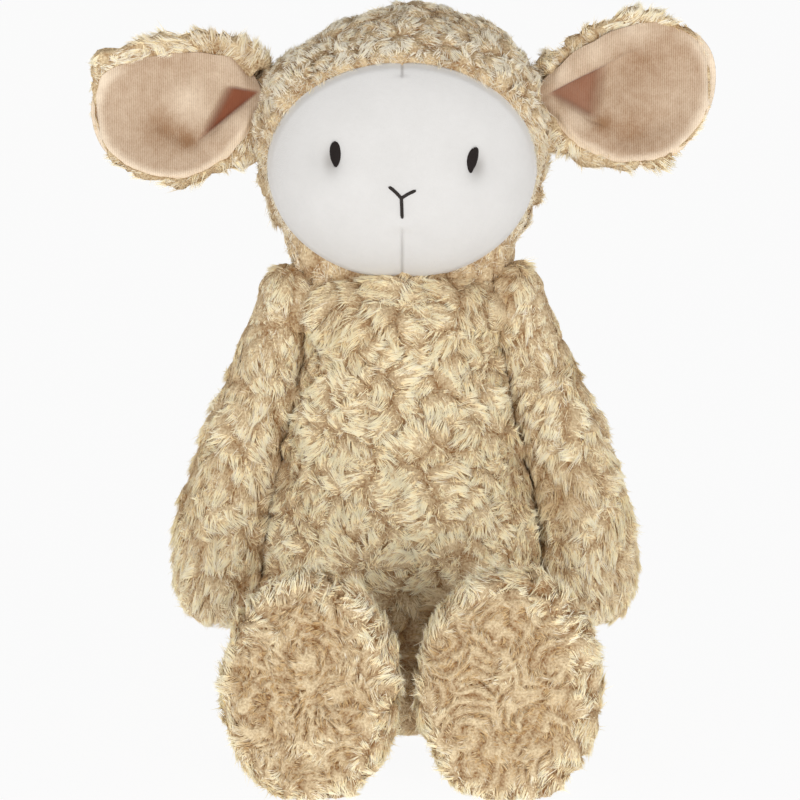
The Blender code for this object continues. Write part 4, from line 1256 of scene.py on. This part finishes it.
def lay_pile(name, form, body, density, length, lift, seed, swelled=None, keep=None, tone=None, thick=None, over=None,
             grey_share=0.0):
    """Strands over a form, along the run of its tufts. density is how many lie on a square mm, keep chooses where,
    tone makes them paler or browner, thick scales them, and over turns some over an edge."""
    rng = np.random.default_rng(seed)
    pattern = tufts[name]
    count = int(form.area() * density * 1e6 * PILE_COUNT_SHARE)
    points, normals, _ = form.skin(*form.scatter(count, rng))
    if keep is not None:
        wanted = keep(points, normals)
        points, normals = points[wanted], normals[wanted]
    near, height, crest, run = pattern.at(points, normals)
    if swelled:
        height = swelled(points, normals, height)
    room = room_for(points + normals * height[:, None], f"{name}_coat", ROOM_REACH)
    crevice = 1.0 - room
    if thick:
        room = room * thick(points)
    wanted = room > 0.0
    points, normals, near, height = points[wanted], normals[wanted], near[wanted], height[wanted]
    crest, run, room, crevice = crest[wanted], run[wanted], room[wanted], crevice[wanted]
    count = len(points)

    cells = np.unique(np.floor(points / LOCK_SIZE).astype(int), axis=0, return_index=True)[1]
    tree = KDTree(len(cells))
    for i in cells:
        tree.insert(points[i], int(i))
    tree.balance()
    leader = np.array([tree.find(point)[1] for point in points])

    lock_turn = LOCK_TURN * rng.normal(size=points.shape)[leader] + STRAND_TURN * rng.normal(size=points.shape)
    loose = UNDERFUR_SHARE * (1.0 - pattern.rings(points)) if pattern.rings else UNDERFUR_SHARE
    under = (rng.uniform(0.0, 1.0, count) < loose)[leader]
    lock_turn = lock_turn * (1.0 + UNDERFUR_TURN * under[:, None])
    lean = level(run + lock_turn, normals)
    stray = rng.uniform(0.0, 1.0, count) < STRAY_SHARE
    long = length * rng.uniform(*STRAND_LENGTHS, count) * np.sqrt(room) * (1.0 - UNDERFUR_SHORTER * under)
    high = lift * rng.uniform(*STRAND_RISES, count) * (0.6 + 0.4 * crest) * (1.0 + STRAY_RISE * stray) * room
    if over:
        lean, folded = over(points, normals, lean, rng)
        long = long * (1.0 - FOLDED_SHORTER * folded)
    roots = points + normals * (height - ROOT_DEPTH)[:, None]
    tips = roots + lean * long[:, None] + normals * high[:, None]
    gather = rng.uniform(*GATHER, count)[:, None] * (1.0 - stray[:, None]) * (1.0 - GATHER_LESS * under[:, None])
    tips = tips + gather * (tips[leader] - tips)

    lock_tone = rng.uniform(0.0, 1.0, count)[leader]
    own_tone = rng.uniform(0.0, 1.0, count)
    shades = TUFT_TONE * pattern.tone[near] + LOCK_TONE * lock_tone + STRAND_TONE * own_tone
    shades = shades + CREST_TONE * crest - BASE_TONE
    patch = np.sin(points @ pattern.waves.T * PATCH_WAVES).mean(1)
    shades = shades - UNDERFUR_SHADE * under - CREVICE_SHADE * crevice + PATCH_SHADE * patch
    if tone is not None:
        shades = shades + tone(points, normals)
    widths = rng.uniform(*STRAND_WIDTHS, count) / math.sqrt(PILE_COUNT_SHARE)
    grey = (rng.uniform(0.0, 1.0, count) < grey_share).astype(float)
    pile_pieces(f"{name}_pile", body, roots, tips, normals, widths, shades, grey)


# %% [markdown]
# ## The piles
# Last of all the strands are laid, form by form. The parts that another piece covers get none.


# %% Where strands are left out or paler
def seen_of_ear(points, normals):
    """The ear's back and its edge, where the fur shows past the lining."""
    return (normals[:, 1] > 0.35) | (lining_share(points) > 0.97)


def sole_light_and_shade(points, normals):
    """Painted light round the rim of the sole, where the pile stands up into the light, darker over its middle,
    and painted shade between the legs.
    """
    out = sole_share(points)
    behind = rising(points[:, 1], -0.09, 0.02)
    return (0.95 * rising(out, 0.75, 0.2) - 0.62 * falling(out, 1.0, 0.3)) * (1.0 - behind) - 0.45 * behind


def sole_thick(points):
    """Short pile on the sole, and long at its rim."""
    out = sole_share(points)
    front = rising(-points[:, 1], 0.09, 0.02)
    return 1.0 - front * (0.62 - 0.85 * rising(out, 0.74, 0.2))


def body_tone_and_shade(points, normals):
    """Paler on the breast, with painted shade low down between the legs and in a band under the chin."""
    low = falling(points[:, 2], 0.075, 0.03)
    under_chin_shade = rising(points[:, 2], 0.170, 0.004)
    return 0.44 - 0.86 * low - 0.45 * under_chin_shade


def even_tone(amount):
    return lambda points, normals: np.full(len(points), amount)


HEAD_TONE = 0.44
EAR_TONE = 0.22


def arm_light_and_shade(points, normals):
    """Paler on the arms' outer sides as painted light, and browner with painted shade on their sides towards the body.
    """
    return 0.16 + 0.14 * ease(np.sign(points[:, 0]) * normals[:, 0] * 0.5 + 0.5)


def ear_thick(points):
    """Short pile at the ear's far end."""
    return 1.0 - 0.5 * rising(np.abs(points[:, 0]), 0.100, 0.015)


# %% The piles
def round_the_face(points, normals):
    return face_share(points) > 1.0


def over_the_face(points, normals, lean, rng):
    """Near the face most strands lean over its edge instead."""
    inward = level(np.array(FACE_CENTRE) - points, normals)
    folded = rng.uniform(0.0, 1.0, len(points)) < 0.75 * falling(face_share(points), 1.09, 0.06)
    return np.where(folded[:, None], level(inward + 0.6 * lean, normals), lean), folded


lay_pile("body", body_form, "torso", 2.28, 5.0 * MM, 1.7 * MM, 101, up_the_neck, tone=body_tone_and_shade, grey_share=0.05)
lay_pile("head", head_form, "head", 2.5, 4.6 * MM, 1.6 * MM, 102, round_the_head, round_the_face, thick=crown_share,
         over=over_the_face, grey_share=0.85, tone=even_tone(HEAD_TONE))
lay_pile("tail", tail_form, "tail", 2.4, 5.0 * MM, 1.6 * MM, 103)
for number, name in enumerate(SIDES):
    arm, leg, ear = f"{name}_arm", f"{name}_leg", f"{name}_ear"
    lay_pile(arm, arm_forms[name], arm, 2.4, 5.4 * MM, 1.5 * MM, 110 + number, round_the_shoulder, thick=shoulder_share,
             grey_share=0.15, tone=arm_light_and_shade)
    lay_pile(leg, leg_forms[name], leg, 2.35, 4.6 * MM, 1.5 * MM, 120 + number, foot_fills[name], tone=sole_light_and_shade,
             thick=sole_thick, grey_share=0.15)
    lay_pile(ear, ear_forms[name], ear, 2.9, 5.4 * MM, 1.6 * MM, 130 + number, round_the_ear, seen_of_ear,
             thick=ear_thick, grey_share=0.5, tone=even_tone(EAR_TONE))

# %% [markdown]
# ## The face
# The face is one smooth oval of knit, darted at its top and sewn up the middle under the mouth, and pulled in a
# little at each eye. A grid bent to an oval disc keeps its squares even, with no pole in the middle of the face.
# Each point is put on the head's own form, and the seams and dimples are real dents.

# %% The face's surface
EYES = {"left": (-0.0258, 0.2311), "right": (0.0272, 0.2289)}
MOUTH = (-0.0003, 0.2144)
FACE_PUFF = 0.9 * MM
FACE_RIM_SINK = 1.6 * MM
FACE_WALL = 1.2 * MM
CHIN_SEAM_TOP = 0.2042
DART_FOOT = 0.2600
EYE_OUTWARD = 1.2 * MM                  # how far outside its eye the deepest place lies
EYE_DEPTH = 2.0 * MM
SOCKET_DEPTH = 0.5 * MM                 # of the wide hollow round each eye
MOUTH_DEPTH = 0.5 * MM
SEAM_WIDTH = 0.45 * MM
CHIN_DEPTH = 0.8 * MM
CHIN_FOLD_WIDTH = 4.5 * MM              # of the shallow fold round the seam
DART_DEPTH = 0.7 * MM
DART_FOLD_DEPTH = 0.5 * MM
DART_FOLD_WIDTH = 3.0 * MM
FACE_BEYOND = 1.012                     # how far the knit goes on under the fur, as a share of the oval


def head_front(x, z):
    """The head's skin in front at a place across and up, and the way that it faces there."""
    across = np.abs(x) / HEAD_HALF[0]
    up = np.abs(z - HEAD_CENTRE.z) / HEAD_HALF[1]
    deep = np.maximum(1.0 - across**HEAD_ROUNDNESS - up**HEAD_ROUNDNESS, 1e-4) ** (1.0 / HEAD_ROUNDNESS)
    power = HEAD_ROUNDNESS - 1.0
    facing = np.stack([
        np.sign(x) * across**power / HEAD_HALF[0],
        -(deep**power) / HEAD_FRONT,
        np.sign(z - HEAD_CENTRE.z) * up**power / HEAD_HALF[1],
    ], 1)
    return np.stack([x, -HEAD_FRONT * deep, z], 1), unit(facing)


def dent(x, z, middle, wide, high):
    return np.exp(-(((x - middle[0]) / wide) ** 2) - ((z - middle[1]) / high) ** 2)


def groove(x, wide):
    return np.exp(-((x / wide) ** 2))


def face_rise(x, z):
    """How far the knit stands off the head's form."""
    out = np.hypot(x / FACE_HALF[0], (z - FACE_CENTRE.z) / FACE_HALF[1])
    rise = FACE_PUFF - FACE_RIM_SINK * rising(out, 0.93, 0.09)
    for name, (eye_x, eye_z) in EYES.items():
        outer = eye_x + SIDES[name] * EYE_OUTWARD
        rise = rise - EYE_DEPTH * dent(x, z, (outer, eye_z - 1.6 * MM), 3.2 * MM, 5.6 * MM)
        rise = rise - SOCKET_DEPTH * dent(x, z, (eye_x, eye_z), 9.0 * MM, 11.0 * MM)
    rise = rise - MOUTH_DEPTH * dent(x, z, (MOUTH[0], MOUTH[1] - 3.0 * MM), 3.0 * MM, 6.0 * MM)
    chin = falling(z, CHIN_SEAM_TOP, 4.0 * MM)
    rise = rise - chin * (CHIN_DEPTH * groove(x, SEAM_WIDTH) + CHIN_DEPTH * groove(x, CHIN_FOLD_WIDTH))
    brow = rising(z, DART_FOOT, 1.5 * MM)
    return rise - brow * (DART_DEPTH * groove(x, SEAM_WIDTH) + DART_FOLD_DEPTH * groove(x, DART_FOLD_WIDTH))


def face_point(x, z, above=0.0):
    points, facing = head_front(x, z)
    return points + facing * (face_rise(x, z) + above)[:, None]


# %% The face's knit
FACE_TINT = srgb(226, 224, 222)
FACE_SHADE = srgb(208, 206, 203)
# Painted shade: the grey that darkens the knit in its dents and seams.
FACE_DENT_SHADE = srgb(150, 145, 140)


def knit_paint(wire):
    place = object_place(wire)
    stitches = wire.node("ShaderNodeTexVoronoi", sockets={"Vector": place, "Scale": 1700.0})
    nap = noise(place, 420.0, 5.0)
    plain = (noise(place, 60.0, 3.0) * 0.6 + nap * 0.25).mixed(FACE_SHADE, FACE_TINT)
    tint = attribute(wire, "dent_shade").mixed(plain, FACE_DENT_SHADE)
    return {"Base Color": tint, "Normal": bump(stitches * 0.5 + nap * 0.8, 0.6, 0.2 * MM)}


knit_finish = finish("face_knit", knit_paint, Roughness=0.85, Sheen_Weight=0.25, Sheen_Roughness=0.4)


# %% The face panel
def disc(mesh):
    """A square grid's points bent to a round disc, across and up."""
    grid = read_points(mesh)
    return grid[:, 0] * np.sqrt(1.0 - grid[:, 1] ** 2 / 2.0), grid[:, 1] * np.sqrt(1.0 - grid[:, 0] ** 2 / 2.0)


def sheet_mesh(name, columns, rows, bend):
    """A grid whose points bend(across, up) puts in place, with its faces turned to the front."""
    mesh = operator_mesh(name, bmesh.ops.create_grid, x_segments=columns, y_segments=rows, size=1.0)
    mesh.vertices.foreach_set("co", bend(*disc(mesh)).ravel())
    mesh.update()
    facing = np.zeros(len(mesh.polygons) * 3)
    mesh.polygons.foreach_get("normal", facing)
    if facing[1::3].mean() > 0.0:
        mesh.flip_normals()
    mesh.shade_smooth()
    return mesh


def thicken(made, wall):
    cloth = made.modifiers.new("cloth", "SOLIDIFY")
    cloth.thickness = wall
    cloth.offset = -1.0


def bend_face(across, up):
    return face_point(across * FACE_HALF[0] * FACE_BEYOND, FACE_CENTRE.z + up * FACE_HALF[1] * FACE_BEYOND)


mesh = sheet_mesh("face_panel_knit", 170, 112, bend_face)
across, front, up = read_points(mesh).T
# Painted shade in the dents beside each eye and along the chin seam and the dart.
dent_shade = np.zeros(len(across))
for name, (x, z) in EYES.items():
    dent_shade += 0.55 * dent(across, up, (x + SIDES[name] * 1.6 * MM, z - 2.4 * MM), 2.6 * MM, 4.4 * MM)
    dent_shade += 0.16 * dent(across, up, (x + SIDES[name] * 3.0 * MM, z - 3.0 * MM), 7.0 * MM, 8.0 * MM)
dent_shade += 0.40 * dent(across, up, (0.0, 0.0), 0.5 * MM, 1.0) * falling(up, CHIN_SEAM_TOP, 9.0 * MM)
dent_shade += 0.55 * dent(across, up, (0.0, 0.0), 0.5 * MM, 1.0) * rising(up, DART_FOOT, 1.5 * MM)
paint_points(mesh, "dent_shade", dent_shade)
face = add_piece("face_panel_knit", mesh, "head", knit_finish)
thicken(face, FACE_WALL)
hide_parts("face_panel")
print("face", len(face.data.polygons), "faces")

# %% [markdown]
# ## Eyes and mouth
# They are satin stitches: glossy threads laid side by side from edge to edge of each shape. Drawing them on the cloth
# would leave them flat, so every thread is a thin tube that rises in the middle and dives into the knit at its ends.


# %% Threads
def thread_paint(dark, light):
    def paint(wire):
        plies = noise(object_place(wire), 2600.0, 2.0)
        return {"Base Color": plies.mixed(dark, light), "Normal": bump(plies, 0.4, 0.05 * MM)}
    return paint


EYE_TINTS = (srgb(10, 5, 4), srgb(36, 23, 19))
MOUTH_TINTS = (srgb(26, 21, 19), srgb(58, 51, 46))
eye_finish = finish("eye_thread", thread_paint(*EYE_TINTS), Roughness=0.45, Specular_IOR_Level=0.25)
mouth_finish = finish("mouth_thread", thread_paint(*MOUTH_TINTS), Roughness=0.5, Specular_IOR_Level=0.25)


def stitches(name, ends, radius, rise, material, node, slot):
    """Threads between pairs of places on the face, as one piece that stands for the CAD node."""
    curve = bpy.data.curves.new(name, "CURVE")
    curve.dimensions = "3D"
    curve.bevel_depth = radius
    curve.bevel_resolution = 1
    curve.use_fill_caps = True
    steps = np.linspace(0.0, 1.0, 7)
    arch = rise * np.sqrt(np.sin(math.pi * steps)) - radius * 1.5 * (np.abs(steps - 0.5) > 0.45)
    for start, end in ends:
        x = start[0] + (end[0] - start[0]) * steps
        z = start[1] + (end[1] - start[1]) * steps
        spline = curve.splines.new("POLY")
        spline.points.add(len(steps) - 1)
        spline.points.foreach_set("co", np.hstack([face_point(x, z, arch), np.ones((len(steps), 1))]).ravel())
    mesh = made_real(new_object(name, curve))
    mesh.shade_smooth()
    made = add_piece(name, mesh, "head", material)
    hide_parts(node)
    print(name, len(ends), "threads")


# %% The eyes
# Up from the eye's middle, then its left and right edges there, in mm.
EYE_ROWS = {
    "left": [
        (4.9, -0.15, 0.35), (4.7, -0.75, 0.85), (4.2, -1.35, 1.4), (3.0, -1.95, 1.9), (1.5, -2.25, 2.15),
        (0.0, -2.3, 2.25), (-1.5, -2.1, 2.1), (-2.6, -1.7, 1.85), (-3.5, -1.2, 1.5), (-4.3, -0.7, 1.0),
        (-4.7, -0.1, 0.5),
    ],
    "right": [
        (4.7, 0.2, 1.2), (4.5, -0.4, 1.6), (3.8, -1.1, 2.0), (2.8, -1.7, 2.2), (1.6, -2.1, 2.3), (0.0, -2.3, 2.25),
        (-1.7, -2.15, 1.9), (-2.6, -1.95, 1.5), (-3.4, -1.7, 0.9), (-4.2, -1.3, 0.2), (-4.6, -1.0, -0.3),
    ],
}
EYE_PITCH = 0.30
EYE_WIDER = 1.1                         # the threads' own width round each row's ends
EYE_THREAD_RADIUS = 0.20 * MM
EYE_RISE = 0.75 * MM
EYE_SLANT = 0.12                        # rise of a thread for each mm that it runs to the right

for name, rows in EYE_ROWS.items():
    rows = np.array(rows[::-1])
    ends = []
    for up in np.arange(rows[0, 0], rows[-1, 0], EYE_PITCH):
        sides = [np.interp(up, rows[:, 0], rows[:, column]) for column in (1, 2)]
        x, z = EYES[name]
        ends.append([(x + EYE_WIDER * side * MM, z + (up + EYE_SLANT * side) * MM) for side in sides])
    stitches(f"{name}_eye_satin", ends, EYE_THREAD_RADIUS, EYE_RISE, eye_finish, f"{name}_eye", "eye_thread")

# %% The mouth
MOUTH_LINES = [
    [(-0.0003, 0.2146), (-0.0022, 0.2172), (-0.0050, 0.2193)],
    [(-0.0003, 0.2146), (0.0022, 0.2167), (0.0052, 0.2177)],
    [(-0.0003, 0.2149), (-0.0001, 0.2109), (0.0000, 0.2069)],
]
MOUTH_PITCH = 0.27 * MM
MOUTH_HALF_STROKE = 0.62 * MM
MOUTH_THREAD_RADIUS = 0.17 * MM
MOUTH_RISE = 0.45 * MM
MOUTH_SLANT = 0.35

ends = []
for line in MOUTH_LINES:
    line = np.array(line)
    steps = np.linspace(0.0, 1.0, 40)
    early, late = (line[0] + (line[1] - line[0]) * steps[:, None]), (line[1] + (line[2] - line[1]) * steps[:, None])
    path = early + (late - early) * steps[:, None]
    gone = np.concatenate([[0.0], np.cumsum(np.linalg.norm(np.diff(path, axis=0), axis=1))])
    for at in np.arange(0.0, gone[-1], MOUTH_PITCH):
        spot = np.array([np.interp(at, gone, path[:, axis]) for axis in (0, 1)])
        later = np.array([np.interp(at + MOUTH_PITCH, gone, path[:, axis]) for axis in (0, 1)])
        run = (later - spot) / max(np.linalg.norm(later - spot), 1e-9) if at + MOUTH_PITCH < gone[-1] else run
        cross = np.array([-run[1], run[0]]) + MOUTH_SLANT * run
        taper = min(1.0, 0.55 + (gone[-1] - at) / (2.0 * MM))
        ends.append((spot - cross * MOUTH_HALF_STROKE * taper, spot + cross * MOUTH_HALF_STROKE * taper))
stitches("mouth_satin", ends, MOUTH_THREAD_RADIUS, MOUTH_RISE, mouth_finish, "mouth_stitch", "mouth_thread")

# %% [markdown]
# ## Ear linings
# Each ear is lined with a ribbed velour. At the root the lining is pleated, so a roll of it hangs over a hollow, which
# painted shade browns, and its far edges turn over. The outline was measured on the photograph, one table for each ear,
# because the two ears were sewn and posed differently. A pile this short shines at its edges: the material's sheen does
# that, with a painted highlight along the far edges. Painted light and shade also lie on the rolls and in the dimples.

# %% The velour
VELOUR_RIB = 0.85 * MM
VELOUR_TOP = srgb(242, 222, 196)
VELOUR_GAP = srgb(150, 112, 78)
# Painted shade in the hollow under each pleat: a warm brown, deeper on the left ear.
HOLLOW_SHADE_TINT = srgb(138, 78, 48)
HOLLOW_SHADE_AMOUNTS = {"left": 1.0, "right": 0.72}


def velour_paint(wire):
    place = object_place(wire)
    across = wire.node("ShaderNodeSeparateXYZ", sockets={0: place})
    wobble = noise(place, 260.0, 4.0)
    nap = noise(place, 1500.0, 3.0)
    turn = across * (2.0 * math.pi / VELOUR_RIB) + wobble * 3.0
    rib = turn.sum("SINE", turn, 0.0) * 0.5 + 0.5
    # Painted light and shade from the lining's attribute, and painted shade in its hollow.
    pale = rib * 0.2 + nap * 0.36 + wobble * 0.36 + attribute(wire, "painted_light_and_shade") * 0.75 - 0.08
    tint = attribute(wire, "hollow").mixed(pale.mixed(VELOUR_GAP, VELOUR_TOP), HOLLOW_SHADE_TINT)
    return {"Base Color": tint, "Normal": bump(rib + nap * 1.2, 0.5, 0.18 * MM)}


velour_finish = finish("ear_velour", velour_paint, Roughness=0.8, Sheen_Weight=0.35, Sheen_Roughness=0.35)
print("velour ribs", VELOUR_RIB / MM, "mm apart")

# %% The linings
LINING_WALL = 0.9 * MM
EDGE_TURN = 1.0                         # mm that the far edges turn back
TOP_EDGE_SHARE = 0.35                   # of that, along the top seam


def bend_lining(name):
    side = SIDES[name]
    form = ear_forms[name]
    fine = smooth_rows(ear_rows, np.linspace(0.0, 1.0, 400))

    def bend(across, up):
        out = np.hypot(across, up)
        angle = np.arctan2(up, across)
        reach = outline_reach(LINING_OUTLINES[name], angle)
        along = LINING_MIDDLE[0] + reach * across
        high = LINING_MIDDLE[1] + reach * up - LINING_DROPS[name]
        cup, wide, thick = (np.interp(along * MM, fine[0], fine[row]) for row in (1, 2, 3))
        wide = np.maximum(wide, 9.0 * MM)
        front = ear_front(cup, wide, thick, high * MM)
        far = np.maximum(ease(np.cos(angle) * 2.0 + 0.4), ease(-np.sin(angle) * 2.0))
        turned = EDGE_TURN * rising(out, 0.87, 0.13) ** 1.5 * (TOP_EDGE_SHARE + (1.0 - TOP_EDGE_SHARE) * far)
        rise = front + (fold_rise(name, along, high) + 0.4 - turned) * MM
        local = np.stack([side * along * MM, -rise, high * MM], 1)
        return local @ form.rotation.T + form.origin

    return bend


for name in SIDES:
    title = f"{name}_ear_velour"
    mesh = sheet_mesh(title, 112, 86, bend_lining(name))
    local = (read_points(mesh) - ear_forms[name].origin) @ ear_forms[name].rotation / MM
    along, up = SIDES[name] * local[:, 0], local[:, 2]
    # Painted shade over the hollow, fading at its soft sides.
    hollow = hollow_share(name, along, up) * HOLLOW_SHADE_AMOUNTS[name]
    paint_points(mesh, "hollow", hollow)
    # Painted highlight along the lining's far and lower edges, and the painted light and shade of its table.
    edge = rising(lining_share(read_points(mesh)), 0.80, 0.18)
    painted_light_and_shade = 0.85 * edge * ease((LINING_MIDDLE[1] + 12.0 - up + 0.5 * (along - LINING_MIDDLE[0])) / 12.0)
    for x, z, wide, much in LINING_LIGHT_AND_SHADE[name]:
        painted_light_and_shade = painted_light_and_shade + much * np.exp(-((along - x) ** 2 + (up - z) ** 2) / wide**2)
    paint_points(mesh, "painted_light_and_shade", painted_light_and_shade)
    made = add_piece(title, mesh, f"{name}_ear", velour_finish)
    thicken(made, LINING_WALL)
    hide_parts(f"{name}_ear_lining")
    print(title, len(mesh.polygons), "faces")
